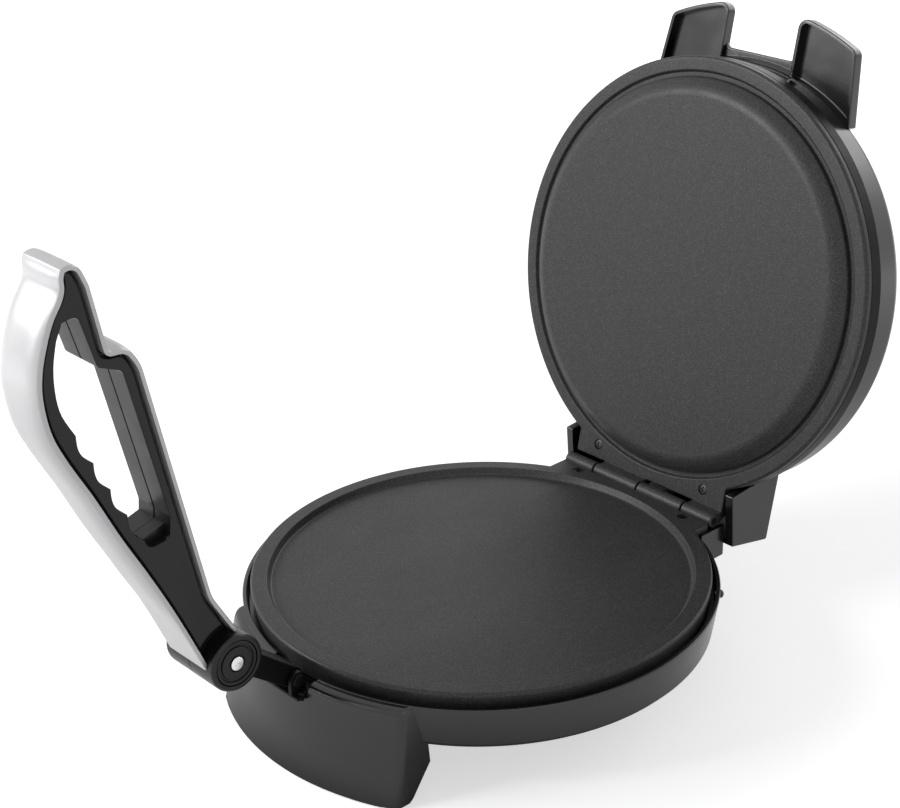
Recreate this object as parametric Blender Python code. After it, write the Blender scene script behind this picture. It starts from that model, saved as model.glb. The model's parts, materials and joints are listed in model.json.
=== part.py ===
"""Electric roti maker, standing open, with its lid thrown back and its pressing handle swung forward.

All lengths are metres. The working frame has its origin at the centre of the lower plate, z = 0 at that
plate's rim, X along the hinge and -Y towards the handle. The lid is modelled closed and the handle lying
along +Y, each below an empty on its joint's axis, and those empties hold the angles of the open pose.
The last step stands the whole assembly on z = 0 and centres its footprint.
"""

import math

import bmesh
import bpy
import numpy as np
from mathutils import Vector

# Fits that every piece shares
GAP = 0.0003
WALL = 0.0025
OVERRUN = 0.006
WELD = 1e-6

# Facets of round shapes
ROUND_STEPS = 48
HIDDEN_STEPS = 24
SMALL_STEPS = 12
CORNER_STEPS = 3
SMOOTH_ANGLE = math.radians(35)

# The two shells take many cuts that meet in one plane, which the exact solver can leave open
SHELL_SOLVER = "MANIFOLD"

# Lower cooking plate
PLATE_RADIUS = 0.135
PLATE_RIM_WIDTH = 0.010
PLATE_RIM_ROUND = 0.001
PLATE_RECESS = 0.004
PLATE_RECESS_SLOPE = 0.002
PLATE_THICKNESS = 0.005
PLATE_SKIRT_DEPTH = 0.014
PLATE_SKIRT_WALL = 0.004
PLATE_DRAFT = 0.002

# Upper cooking plate, with its raised pad and the spigot that centres the lid shell
RIM_PARTING = 0.005
UPPER_INSET = 0.0018
UPPER_WALL_HEIGHT = 0.014
UPPER_WALL = 0.0035
UPPER_WEB = 0.004
PAD_INSET = 0.0122
PAD_RAISE = 0.0065
PAD_SHOULDER = 0.011
PAD_SHOULDER_SHARES = ((0.0, 0.0), (0.08, 0.22), (0.20, 0.50), (0.40, 0.76), (0.68, 0.93), (1.0, 1.0))
SPIGOT_HEIGHT = 0.005
SPIGOT_WALL = 0.0025

# Hinge between the plates
HINGE_SETBACK = 0.0023
HINGE_DROP = 0.0005
OPEN_ANGLE = math.radians(102.6)
KNUCKLE_RADIUS = 0.0044
KNUCKLE_GAP = 0.0006
KNUCKLE_SPAN = 0.061
KNUCKLE_END_GAP = 0.0005
KNUCKLE_BREAK = 0.037
HINGE_PIN_RADIUS = 0.002
KNUCKLE_LEAN = math.radians(20)
TAB_THICKNESS = 0.006
TAB_ROOT = 0.016

# Screws through the hinge tabs
TAB_SCREW_X = 0.044
LOWER_TAB_SCREW_INSET = 0.0046
UPPER_TAB_SCREW_INSET = 0.0089
TAB_BOSS_RADIUS = 0.0045
TAB_SCREW_LENGTH = 0.024
SCREW_HEAD_RADIUS = 0.003
SCREW_HEAD_HEIGHT = 0.0016
SCREW_SHANK_RADIUS = 0.0014
SCREW_SINK = 0.0003

# Base shell
SHELL_MARGIN = 0.0048
SHELL_DRAFT = 0.0039
SHELL_DROP = 0.0072
SHELL_HEIGHT = 0.0245
LEDGE_WIDTH = 0.0083
FLANGE_WIDTH = 0.0139

# Front foot of the base shell: shares of its height, its reach and its half width
FOOT_HEIGHT = 0.0571
FOOT_REACH = 0.0152
FOOT_HALF_WIDTH = 0.077
FOOT_SOLE_WIDTH = 0.008
FOOT_CORNER = 0.006
FOOT_CORNER_SHARE = 0.5
FOOT_ARC_STEPS = 12
FOOT_SHARES = (
    (0.0, 0.09, 0.925),
    (0.018, 0.26, 0.948),
    (0.055, 0.38, 0.958),
    (0.12, 0.45, 0.962),
    (0.31, 0.605, 0.972),
    (0.66, 0.80, 0.987),
    (1.0, 1.0, 1.0),
)
NOTCH_HALF_WIDTH = 0.0185
NOTCH_DEPTH = 0.0088
NOTCH_SETBACK = 0.0053

# Box behind the base shell, below the hinge
BOX_SETBACK = 0.0069
BOX_EAR_DROP = 0.0005
BOX_REAR_DROP = 0.008

# Bottom cover, rear foot and rubber pads
COVER_MARGIN = 0.0004
COVER_SCREW_INSET = 0.0075
COVER_SCREW_LENGTH = 0.0058
REAR_FOOT_HALF_WIDTH = 0.045
REAR_FOOT_INSET = 0.0225
REAR_FOOT_DEPTH = 0.027
REAR_FOOT_CORNER = 0.006
REAR_POST_X = 0.018
REAR_POST_RADIUS = 0.005
REAR_SCREW_LENGTH = 0.0119
PAD_SINK = 0.0012
PAD_PROUD = 0.001
FRONT_PAD_X = 0.058
FRONT_PAD_LENGTH = 0.018
FRONT_PAD_WIDTH = 0.005
REAR_PAD_X = 0.034
REAR_PAD_RADIUS = 0.006

# Heating and electrical pieces
ELEMENT_RADIUS = 0.0035
ELEMENT_INSET = 0.036
ELEMENT_LOOP_GAP = math.radians(14)
ELEMENT_TAIL = 0.016
ELEMENT_LOOP_STEPS = 24
REFLECTOR_SHEET = 0.0008
REFLECTOR_GAP = 0.0012
REFLECTOR_INSET = 0.0032
THERMOSTAT_RADIUS = 0.0085
THERMOSTAT_HEIGHT = 0.009
THERMOSTAT_Y = -0.030
FUSE_RADIUS = 0.002
FUSE_LENGTH = 0.014
FUSE_X = 0.030
TERMINAL_HALF_WIDTH = 0.016
TERMINAL_DEPTH = 0.009
TERMINAL_HEIGHT = 0.0085
TERMINAL_PORTS = 3
TERMINAL_PORT_RADIUS = 0.0016
LENS_ANGLE = math.radians(39)
LENS_DROP = 0.0033
LENS_RADIUS = 0.0025
LENS_STEM_RADIUS = 0.0017
LENS_PROUD = 0.002
LENS_DOME_SHARES = ((1.0, 0.0), (0.97, 0.45), (0.75, 0.82), (0.4, 0.97))
INLET_DROP = 0.017
INLET_FLANGE_RADIUS = 0.007
INLET_RADIUS = 0.005
INLET_BORE_RADIUS = 0.0035
INLET_FLANGE = 0.002
INLET_TAIL = 0.006

# Lid shell
LID_SEAM = 0.0022
LID_SETBACK = 0.0022
LID_DRAFT = 0.0007
LID_HEIGHT = 0.0233
LID_SHOULDER = 0.008
LID_BOX_CHEEK = 0.0054
LID_BOX_GAP = 0.0006
LID_BOX_REACH = 0.0154
LID_BOX_FRONT_LOW = 0.018
LID_BOX_FRONT_HIGH = 0.0243
LID_BOX_LOW = 0.0017
LID_BOX_REAR_LOW = 0.0113
LID_BOX_CORNER = 0.006
LID_BOX_CLEARANCE = 0.0008

# Horns in front of the lid, and the wall bulging between them
HORN_INNER_X = 0.0265
HORN_OUTER_X = 0.070
HORN_FOOT_X = 0.0755
HORN_FOOT_SETBACK = 0.024
HORN_REACH = 0.035
HORN_DEPTH = 0.0072
HORN_ROOT = 0.016
HORN_CORNER = 0.006
HORN_WALL = 0.0023
HORN_ARC_STEPS = 5
BULGE_REACH = 0.0055
BULGE_HEIGHT = 0.0138

# Link arm and the bracket that carries it in the notch
LINK_SETOUT = 0.0067
LINK_DROP = 0.0067
LINK_LENGTH = 0.0556
LINK_REST = math.radians(141.8)
LINK_CLOSED = math.radians(95.0)
LINK_HALF_WIDTH = 0.009
LINK_EYE_RADIUS = 0.012
LINK_ROOT_RADIUS = 0.006
LINK_NECK = 0.007
LINK_PIN_RADIUS = 0.0025
LINK_PIN_HEAD_RADIUS = 0.0038
LINK_PIN_HEAD = 0.0012
BRACKET_SHEET = 0.003
BRACKET_GAP = 0.0004
BRACKET_CHEEK_RADIUS = 0.005
BRACKET_FLANGE_WIDTH = 0.0052
BRACKET_BASE = 0.0015

# Pivot barrel at the foot of the handle
BARREL_RADIUS = 0.016
BARREL_HALF_LENGTH = 0.0209
AXLE_RADIUS = 0.003
CAP_RADIUS = 0.0126
CAP_THICKNESS = 0.0022
CAP_SINK = 0.0004
CAP_SCREW_SEAT = 0.0012
CAP_SCREW_LENGTH = 0.009

# Handle: shares of its length, from the barrel's centre to the tip, then away from the plates
HANDLE_LENGTH = 0.247
HANDLE_REST = math.radians(106.54)
HANDLE_CLOSED = math.radians(8.6)
BAND_HALF_WIDTH = 0.016
BAND_WALL = 0.0022
BAND_CROWN = 0.003
BAND_CROWN_POWER = 4
BAND_INNER_CROWN_SHARE = 0.35
BAND_STATION_SHARES = (-1.0, -0.92, -0.62, 0.0, 0.62, 0.92, 1.0)
CORE_HALF_WIDTH = 0.014
CORE_ROOT = 0.008
HANDLE_BACK_STEPS = 3
HANDLE_BACK_SHARES = (
    (0.024, 0.063),
    (0.182, 0.080),
    (0.308, 0.099),
    (0.429, 0.121),
    (0.547, 0.138),
    (0.648, 0.156),
    (0.721, 0.162),
    (0.794, 0.150),
    (0.846, 0.128),
    (0.891, 0.097),
    (0.923, 0.069),
    (0.945, 0.042),
    (0.962, 0.028),
    (0.982, 0.021),
    (0.997, 0.011),
)
HANDLE_FRONT_SHARES = (
    (1.001, -0.024, 0.016),
    (0.940, -0.029, 0.060),
    (0.797, -0.013, 0.010),
    (0.782, -0.053, 0.018),
    (0.735, -0.065, 0.050),
    (0.170, -0.014, 0.100),
    (0.057, -0.039, 0.0),
)

# Finger hole through the handle, in the same shares, with its four finger scallops
HOLE_RIM_SHARES = (
    (0.899, 0.045, 0.0),
    (0.895, 0.012, 0.016),
    (0.776, 0.015, 0.012),
    (0.741, -0.028, 0.018),
    (0.395, -0.002, 0.024),
    (0.352, 0.016, 0.016),
    (0.360, 0.064, 0.018),
)
SCALLOP_START_SHARES = (0.388, 0.068)
SCALLOP_END_SHARES = (0.680, 0.108)
SCALLOPS = 4
SCALLOP_SAGITTA = 0.0028
SCALLOP_STEPS = 4
HOLE_BACK_SHARES = ((0.735, 0.117), (0.781, 0.111), (0.830, 0.094), (0.873, 0.069))

# Screws that hold the handle's halves together, from the left
HANDLE_SCREW_SHARES = ((0.245, 0.030), (0.925, 0.006))
HANDLE_SCREW_SINK = 0.0022
HANDLE_SCREW_LENGTH = 0.022

# Places that follow from the sizes above
HINGE_Y = PLATE_RADIUS + HINGE_SETBACK
HINGE_Z = -HINGE_DROP
TAB_REAR = HINGE_Y - KNUCKLE_RADIUS - KNUCKLE_GAP
LOWER_TAB_SCREW_Y = TAB_REAR - LOWER_TAB_SCREW_INSET
UPPER_TAB_SCREW_Y = TAB_REAR - UPPER_TAB_SCREW_INSET
PLATE_FACE = -PLATE_RECESS
PLATE_BACK = PLATE_FACE - PLATE_THICKNESS
UPPER_RADIUS = PLATE_RADIUS - UPPER_INSET
PAD_RADIUS = UPPER_RADIUS - PAD_INSET
ELEMENT_LOOP_RADIUS = PAD_RADIUS - ELEMENT_INSET
UPPER_WALL_TOP = RIM_PARTING + UPPER_WALL_HEIGHT
PAD_BACK = RIM_PARTING - PAD_RAISE + PLATE_THICKNESS
UPPER_BACK = RIM_PARTING + UPPER_WEB
SHELL_RADIUS = PLATE_RADIUS + SHELL_MARGIN
SHELL_TOP = -SHELL_DROP
SHELL_FLOOR = SHELL_TOP - SHELL_HEIGHT
SHELL_FLOOR_RADIUS = SHELL_RADIUS - SHELL_DRAFT
LEDGE_TOP = -PLATE_SKIRT_DEPTH - GAP
LEDGE_RADIUS = SHELL_RADIUS - WALL - LEDGE_WIDTH
FLANGE_RADIUS = SHELL_FLOOR_RADIUS - FLANGE_WIDTH
FOOT_INNER_RADIUS = SHELL_FLOOR_RADIUS - WALL
NOTCH_FLOOR = SHELL_TOP - NOTCH_DEPTH
NOTCH_BACK = SHELL_RADIUS - NOTCH_SETBACK
SOLE = SHELL_TOP - FOOT_HEIGHT
BOX_REAR = HINGE_Y + BOX_SETBACK
BOX_HALF_WIDTH = KNUCKLE_SPAN + KNUCKLE_END_GAP + WALL
BOX_SEAM_Y = math.sqrt(SHELL_RADIUS**2 - BOX_HALF_WIDTH**2)
COVER_RADIUS = FOOT_INNER_RADIUS - COVER_MARGIN
COVER_TOP = SHELL_FLOOR - GAP
COVER_BOTTOM = COVER_TOP - WALL
REAR_POST_SINK = COVER_TOP - SOLE + SCREW_HEAD_HEIGHT - REAR_SCREW_LENGTH
COVER_SCREW_RADIUS = FOOT_INNER_RADIUS - COVER_SCREW_INSET
REAR_FOOT_Y = COVER_RADIUS - REAR_FOOT_INSET
LID_RADIUS = UPPER_RADIUS - LID_SETBACK
LID_EDGE = UPPER_WALL_TOP + LID_SEAM
LID_TOP = LID_EDGE + LID_HEIGHT
LID_BOX_INNER_X = BOX_HALF_WIDTH + LID_BOX_GAP
LID_BOX_OUTER_X = LID_BOX_INNER_X + LID_BOX_CHEEK
LID_BOX_REAR = HINGE_Y + LID_BOX_REACH
LINK_Y = -(SHELL_RADIUS + LINK_SETOUT)
LINK_Z = -LINK_DROP
BRACKET_INNER_X = LINK_HALF_WIDTH + BRACKET_GAP
BRACKET_OUTER_X = BRACKET_INNER_X + BRACKET_SHEET
SCREW_HOLE = SCREW_SHANK_RADIUS + GAP
SCREW_SEAT = SCREW_HEAD_RADIUS + GAP
SLOT_HALF_WIDTH = LINK_HALF_WIDTH + GAP
INLET_Y = (BOX_SEAM_Y + BOX_REAR) / 2
INLET_Z = -INLET_DROP


def clear_scene():
    for item in list(bpy.data.objects):
        bpy.data.objects.remove(item, do_unlink=True)


def finish(name, colour, roughness, metallic=0.0):
    """A Principled material for one kind of surface."""
    material = bpy.data.materials.new(name)
    material.use_nodes = True
    surface = material.node_tree.nodes["Principled BSDF"]
    surface.inputs["Base Color"].default_value = (*colour, 1.0)
    surface.inputs["Roughness"].default_value = roughness
    surface.inputs["Metallic"].default_value = metallic
    return material


def arc(centre, radius, start, end, steps):
    """Points on a circle about centre, from the start angle to the end angle in radians."""
    turns = np.linspace(start, end, steps + 1)
    return [Vector((centre[0] + radius * math.cos(a), centre[1] + radius * math.sin(a))) for a in turns]


def circle(centre, radius, steps=SMALL_STEPS):
    return arc(centre, radius, 0, math.tau, steps)[:-1]


def rectangle(low, high):
    return [Vector(low), Vector((high[0], low[1])), Vector(high), Vector((low[0], high[1]))]


def rounded(corners, steps=CORNER_STEPS, closed=True):
    """An outline through corners (a, b, radius), each turned into an arc of its radius."""
    outline = []
    for index, (a, b, radius) in enumerate(corners):
        here = Vector((a, b))
        at_end = not closed and index in (0, len(corners) - 1)
        if not radius or at_end:
            outline.append(here)
            continue
        before = (Vector(corners[index - 1][:2]) - here).normalized()
        after = (Vector(corners[(index + 1) % len(corners)][:2]) - here).normalized()
        half = before.angle(after) / 2
        centre = here + (before + after).normalized() * (radius / math.sin(half))
        first = here + before * (radius / math.tan(half)) - centre
        last = here + after * (radius / math.tan(half)) - centre
        start = math.atan2(first.y, first.x)
        sweep = (math.atan2(last.y, last.x) - start + math.pi) % math.tau - math.pi
        outline += arc(centre, radius, start, start + sweep, steps)
    return outline


def smooth(points, steps):
    """A curve through all the points, with steps pieces between each two."""
    points = [Vector(point) for point in points]
    padded = [points[0], *points, points[-1]]
    curve = []
    for a, b, c, d in zip(padded, padded[1:], padded[2:], padded[3:]):
        for t in np.linspace(0, 1, steps, endpoint=False):
            slope = (c - a) * t
            bend = (2 * a - 5 * b + 4 * c - d) * t**2
            twist = (3 * b - a - 3 * c + d) * t**3
            curve.append(b + (slope + bend + twist) / 2)
    return [*curve, points[-1]]


def outward_normals(chain):
    """A unit normal at each point of an open chain, to the left of its direction of travel."""
    normals = []
    for index, _ in enumerate(chain):
        ahead = chain[min(index + 1, len(chain) - 1)] - chain[index]
        behind = chain[index] - chain[max(index - 1, 0)]
        along = ahead.normalized() + behind.normalized()
        normals.append(Vector((-along.y, along.x)).normalized())
    return normals


def moved(chain, distances):
    """The open chain with each point moved along its normal."""
    return [point + side * away for point, side, away in zip(chain, outward_normals(chain), distances)]


def linked(name, shape):
    """An object made of a bmesh, with its faces pointing out."""
    bmesh.ops.remove_doubles(shape, verts=shape.verts, dist=WELD)
    bmesh.ops.recalc_face_normals(shape, faces=shape.faces)
    mesh = bpy.data.meshes.new(name)
    shape.to_mesh(mesh)
    shape.free()
    item = bpy.data.objects.new(name, mesh)
    bpy.context.scene.collection.objects.link(item)
    return item


def lathe(name, profile, steps=ROUND_STEPS):
    """A profile of (radius, height) turned about Z. One that starts on the axis is closed by it."""
    shape = bmesh.new()
    corners = [shape.verts.new((radius, 0, height)) for radius, height in profile]
    edges = [shape.edges.new(pair) for pair in zip(corners, corners[1:])]
    if profile[0][0]:
        edges.append(shape.edges.new((corners[-1], corners[0])))
    bmesh.ops.spin(
        shape,
        geom=corners + edges,
        cent=(0, 0, 0),
        axis=(0, 0, 1),
        angle=math.tau,
        steps=steps,
        use_merge=True,
    )
    return linked(name, shape)


def loft(name, rings):
    """A skin over closed rings of equally many points, with both ends filled."""
    shape = bmesh.new()
    loops = [[shape.verts.new(point) for point in ring] for ring in rings]
    for low, high in zip(loops, loops[1:]):
        for index, _ in enumerate(low):
            shape.faces.new((low[index - 1], low[index], high[index], high[index - 1]))
    shape.faces.new(loops[0])
    shape.faces.new(loops[-1])
    return linked(name, shape)


def slab(name, outline, low, high):
    """An outline in plan, extruded between two heights."""
    return loft(name, [[(x, y, z) for x, y in outline] for z in (low, high)])


def cheek(name, outline, low, high):
    """An outline of (y, z), extruded along X."""
    return loft(name, [[(x, y, z) for y, z in outline] for x in (low, high)])


def box(name, low, high):
    return slab(name, rectangle(low[:2], high[:2]), low[2], high[2])


def tube(name, path, radius):
    """A round bar along a path, with closed ends."""
    curve = bpy.data.curves.new(name, "CURVE")
    curve.dimensions = "3D"
    curve.bevel_depth = radius
    curve.bevel_resolution = 2
    curve.use_fill_caps = True
    spline = curve.splines.new("POLY")
    spline.points.add(len(path) - 1)
    for point, place in zip(spline.points, path):
        point.co = (*place, 1.0)
    item = bpy.data.objects.new(name, curve)
    bpy.context.scene.collection.objects.link(item)
    return item


def combine(target, others, operation, solver):
    """Applies one Boolean for each of the others, which are used up."""
    for other in others:
        modifier = target.modifiers.new(other.name, "BOOLEAN")
        modifier.operation = operation
        modifier.solver = solver
        modifier.object = other
        graph = bpy.context.evaluated_depsgraph_get()
        mesh = bpy.data.meshes.new_from_object(target.evaluated_get(graph), depsgraph=graph)
        mesh.name = target.name
        target.modifiers.clear()
        target.data = mesh
        bpy.data.objects.remove(other, do_unlink=True)
    return target


def join(target, *others, solver="EXACT"):
    return combine(target, others, "UNION", solver)


def cut(target, *others, solver="EXACT"):
    return combine(target, others, "DIFFERENCE", solver)


def dress(item, material, parent, place=(0, 0, 0), turn=(0, 0, 0)):
    """Gives a finished piece its material, its place and its parent."""
    if item.type == "MESH":
        item.data.shade_smooth()
        item.data.set_sharp_from_angle(angle=SMOOTH_ANGLE)
    item.data.materials.clear()
    item.data.materials.append(material)
    item.location = place
    item.rotation_euler = turn
    item.parent = parent
    return item


def empty(name, parent, place=(0, 0, 0), turn=0.0):
    item = bpy.data.objects.new(name, None)
    bpy.context.scene.collection.objects.link(item)
    item.location = place
    item.rotation_euler = (turn, 0, 0)
    item.parent = parent
    return item


def screw(name, length, head_radius=SCREW_HEAD_RADIUS):
    """A screw with its head's top at the origin and its shank down -Z."""
    return lathe(
        name,
        [
            (0, 0),
            (head_radius, 0),
            (head_radius, -SCREW_HEAD_HEIGHT),
            (SCREW_SHANK_RADIUS, -SCREW_HEAD_HEIGHT),
            (SCREW_SHANK_RADIUS, -length),
            (0, -length),
        ],
        SMALL_STEPS,
    )


def drill(name, x, y, radius, low, high):
    """An upright cylinder, as a boss or as the cutter of a hole."""
    return slab(name, circle((x, y), radius), low, high)


def shell_radius(height, inset=0.0):
    """The base shell's outer radius at a height, less an inset."""
    share = (SHELL_TOP - height) / SHELL_HEIGHT
    return SHELL_RADIUS - SHELL_DRAFT * share - inset


def lower_plate():
    """The cast plate with its round recess, skirt, screw bosses and two hinge knuckles."""
    inner = PLATE_RADIUS - PLATE_RIM_WIDTH
    skirt = PLATE_RADIUS - PLATE_DRAFT
    plate = lathe(
        "lower_plate",
        [
            (0, PLATE_FACE),
            (inner - PLATE_RECESS_SLOPE, PLATE_FACE),
            (inner, 0),
            (PLATE_RADIUS - PLATE_RIM_ROUND, 0),
            (PLATE_RADIUS, -PLATE_RIM_ROUND),
            (skirt, -PLATE_SKIRT_DEPTH),
            (skirt - PLATE_SKIRT_WALL, -PLATE_SKIRT_DEPTH),
            (skirt - PLATE_SKIRT_WALL, PLATE_BACK),
            (0, PLATE_BACK),
        ],
    )
    tab = box(
        "tab",
        (-KNUCKLE_SPAN, TAB_REAR - TAB_ROOT, -TAB_THICKNESS),
        (KNUCKLE_SPAN, TAB_REAR + OVERRUN, 0),
    )
    inside = slab("inside", circle((0, 0), inner, ROUND_STEPS), -PLATE_SKIRT_DEPTH, OVERRUN)
    join(plate, cut(tab, inside))
    bosses = [
        drill("boss", x, LOWER_TAB_SCREW_Y, TAB_BOSS_RADIUS, -PLATE_SKIRT_DEPTH, -PLATE_RIM_ROUND)
        for x in (-TAB_SCREW_X, TAB_SCREW_X)
    ]
    join(plate, *bosses)
    trim = box(
        "trim",
        (-KNUCKLE_SPAN - OVERRUN, TAB_REAR, -PLATE_SKIRT_DEPTH - OVERRUN),
        (KNUCKLE_SPAN + OVERRUN, TAB_REAR + TAB_ROOT, OVERRUN),
    )
    cut(plate, trim)
    front = TAB_REAR - KNUCKLE_RADIUS
    meet = math.pi - math.asin(HINGE_DROP / KNUCKLE_RADIUS)
    outline = [
        Vector((front, -TAB_THICKNESS)),
        Vector((front, 0)),
        *arc((HINGE_Y, HINGE_Z), KNUCKLE_RADIUS, meet, -math.pi / 2, SMALL_STEPS),
        Vector((TAB_REAR, -TAB_THICKNESS)),
    ]
    for low, high in ((-KNUCKLE_SPAN, -KNUCKLE_BREAK - GAP), (GAP, KNUCKLE_BREAK - GAP)):
        join(plate, cheek("knuckle", outline, low, high))
    holes = [hinge_bore()]
    for x in (-TAB_SCREW_X, TAB_SCREW_X):
        depth = -PLATE_SKIRT_DEPTH - OVERRUN
        seat = -SCREW_SINK - SCREW_HEAD_HEIGHT - GAP
        holes.append(drill("hole", x, LOWER_TAB_SCREW_Y, SCREW_HOLE, depth, OVERRUN))
        holes.append(drill("seat", x, LOWER_TAB_SCREW_Y, SCREW_SEAT, seat, OVERRUN))
    return cut(plate, *holes)


def hinge_bore():
    reach = KNUCKLE_SPAN + OVERRUN
    return cheek("bore", circle((HINGE_Y, HINGE_Z), HINGE_PIN_RADIUS + GAP), -reach, reach)


def upper_plate():
    """The closed lid's plate: a raised pad, a rim, a wall, the lid's spigot and two knuckles."""
    pad = [
        (PAD_RADIUS - PAD_SHOULDER * across, RIM_PARTING - PAD_RAISE * down)
        for across, down in reversed(PAD_SHOULDER_SHARES)
    ]
    inner = UPPER_RADIUS - UPPER_WALL
    spigot = LID_RADIUS - WALL - GAP
    spigot_foot = UPPER_WALL_TOP - SPIGOT_WALL
    plate = lathe(
        "upper_plate",
        [
            (0, RIM_PARTING - PAD_RAISE),
            *pad,
            (UPPER_RADIUS - PLATE_RIM_ROUND, RIM_PARTING),
            (UPPER_RADIUS, RIM_PARTING + PLATE_RIM_ROUND),
            (UPPER_RADIUS, UPPER_WALL_TOP),
            (spigot, UPPER_WALL_TOP),
            (spigot, UPPER_WALL_TOP + SPIGOT_HEIGHT),
            (spigot - SPIGOT_WALL, UPPER_WALL_TOP + SPIGOT_HEIGHT),
            (spigot - SPIGOT_WALL, spigot_foot),
            (inner, spigot_foot),
            (inner, UPPER_BACK),
            (PAD_RADIUS, UPPER_BACK),
            (PAD_RADIUS - PAD_SHOULDER, PAD_BACK),
            (0, PAD_BACK),
        ],
    )
    tab_top = RIM_PARTING + TAB_THICKNESS
    tab = box(
        "tab",
        (-KNUCKLE_SPAN, TAB_REAR - TAB_ROOT, RIM_PARTING),
        (KNUCKLE_SPAN, TAB_REAR + OVERRUN, tab_top),
    )
    join(plate, cut(tab, slab("inside", circle((0, 0), inner, ROUND_STEPS), 0, LID_TOP)))
    bosses = [
        drill("boss", x, UPPER_TAB_SCREW_Y, TAB_BOSS_RADIUS, tab_top - PLATE_RIM_ROUND, UPPER_WALL_TOP)
        for x in (-TAB_SCREW_X, TAB_SCREW_X)
    ]
    join(plate, *bosses)
    reach = KNUCKLE_SPAN + OVERRUN
    trim = box(
        "trim",
        (-reach, TAB_REAR, 0),
        (reach, TAB_REAR + TAB_ROOT, UPPER_WALL_TOP + OVERRUN),
    )
    rear = TAB_REAR - TAB_ROOT - PLATE_RIM_WIDTH
    crest = box(
        "crest",
        (-LID_BOX_OUTER_X, rear, UPPER_WALL_TOP),
        (LID_BOX_OUTER_X, HINGE_Y, LID_TOP),
    )
    cut(plate, trim, crest)
    outline = [
        Vector((TAB_REAR - TAB_THICKNESS, RIM_PARTING)),
        Vector((TAB_REAR - TAB_THICKNESS, tab_top)),
        Vector((HINGE_Y - KNUCKLE_RADIUS / 2, tab_top)),
        *arc((HINGE_Y, HINGE_Z), KNUCKLE_RADIUS, KNUCKLE_LEAN, -math.pi - KNUCKLE_LEAN, SMALL_STEPS),
        Vector((TAB_REAR, RIM_PARTING)),
    ]
    for low, high in ((-KNUCKLE_BREAK + GAP, -GAP), (KNUCKLE_BREAK + GAP, KNUCKLE_SPAN)):
        join(plate, cheek("knuckle", outline, low, high))
    holes = [hinge_bore()]
    for x in (-TAB_SCREW_X, TAB_SCREW_X):
        seat = RIM_PARTING + SCREW_SINK + SCREW_HEAD_HEIGHT + GAP
        holes.append(drill("hole", x, UPPER_TAB_SCREW_Y, SCREW_HOLE, 0, UPPER_WALL_TOP + OVERRUN))
        holes.append(drill("seat", x, UPPER_TAB_SCREW_Y, SCREW_SEAT, 0, seat))
    return cut(plate, *holes)


def foot_ring(height, outer, inner, half):
    """The front foot's outline at one height: an outer arc, rounded corners and an inner arc."""
    corner = min(FOOT_CORNER, (outer - inner) * FOOT_CORNER_SHARE)
    spread = math.asin(half / outer)
    front = arc((0, 0), outer, -math.pi / 2 - spread, -math.pi / 2 + spread, FOOT_ARC_STEPS)
    corners = [(p.x, p.y, 0) for p in front]
    corners[0] = (*corners[0][:2], corner)
    corners[-1] = (*corners[-1][:2], corner)
    spread = math.asin(half / inner)
    back = arc((0, 0), inner, -math.pi / 2 + spread, -math.pi / 2 - spread, FOOT_ARC_STEPS)
    corners += [(p.x, p.y, 0) for p in back]
    return [(x, y, height) for x, y in rounded(corners)]


def front_foot():
    rings = []
    for down, out, wide in FOOT_SHARES:
        height = SHELL_TOP - max(FOOT_HEIGHT * down, GAP)
        sole = SHELL_RADIUS + FOOT_REACH - FOOT_SOLE_WIDTH
        inner = sole if down == 1 else FOOT_INNER_RADIUS
        if height > SHELL_FLOOR:
            inner = shell_radius(height, WALL / 2)
        outer = SHELL_RADIUS + FOOT_REACH * out
        rings.append(foot_ring(height, outer, inner, FOOT_HALF_WIDTH * wide))
    return loft("foot", rings)


def foot_hollow():
    """The space in the front foot, a wall inside its faces and open to the shell."""
    rings = []
    top = NOTCH_FLOOR - WALL
    for down, out, wide in FOOT_SHARES[-3:]:
        sole = SHELL_RADIUS + FOOT_REACH - FOOT_SOLE_WIDTH
        inner = (sole if down == 1 else FOOT_INNER_RADIUS) + WALL
        height = max(min(SHELL_TOP - FOOT_HEIGHT * down, top), SOLE + WALL)
        outer = SHELL_RADIUS + FOOT_REACH * out - WALL
        rings.append(foot_ring(height, outer, inner, FOOT_HALF_WIDTH * wide - WALL))
    first = [(x, y, top) for x, y, _ in rings[0]]
    return loft("hollow", [first, *rings])


def shell_door():
    """The opening from the shell into the hollow of its front foot."""
    half = FOOT_HALF_WIDTH * FOOT_SHARES[0][2] - WALL
    inner = FOOT_INNER_RADIUS - WALL
    low = SHELL_FLOOR + WALL + GAP
    high = NOTCH_FLOOR - WALL - GAP
    return loft("door", [foot_ring(z, SHELL_RADIUS, inner, half) for z in (low, high)])


def rear_box():
    """The box below the hinge: a floor, a rear wall and two ears."""
    rear = box(
        "rear_box",
        (-BOX_HALF_WIDTH, 0, SHELL_FLOOR + GAP),
        (BOX_HALF_WIDTH, BOX_REAR, -BOX_EAR_DROP),
    )
    middle = WALL / 2
    inside = lathe(
        "inside",
        [
            (0, SHELL_FLOOR - OVERRUN),
            (FLANGE_RADIUS + middle, SHELL_FLOOR - OVERRUN),
            (FLANGE_RADIUS + middle, SHELL_FLOOR + middle),
            (SHELL_FLOOR_RADIUS - middle, SHELL_FLOOR + middle),
            (SHELL_RADIUS - middle, SHELL_TOP),
            (SHELL_RADIUS - middle, OVERRUN),
            (0, OVERRUN),
        ],
    )
    return cut(rear, inside)


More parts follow.
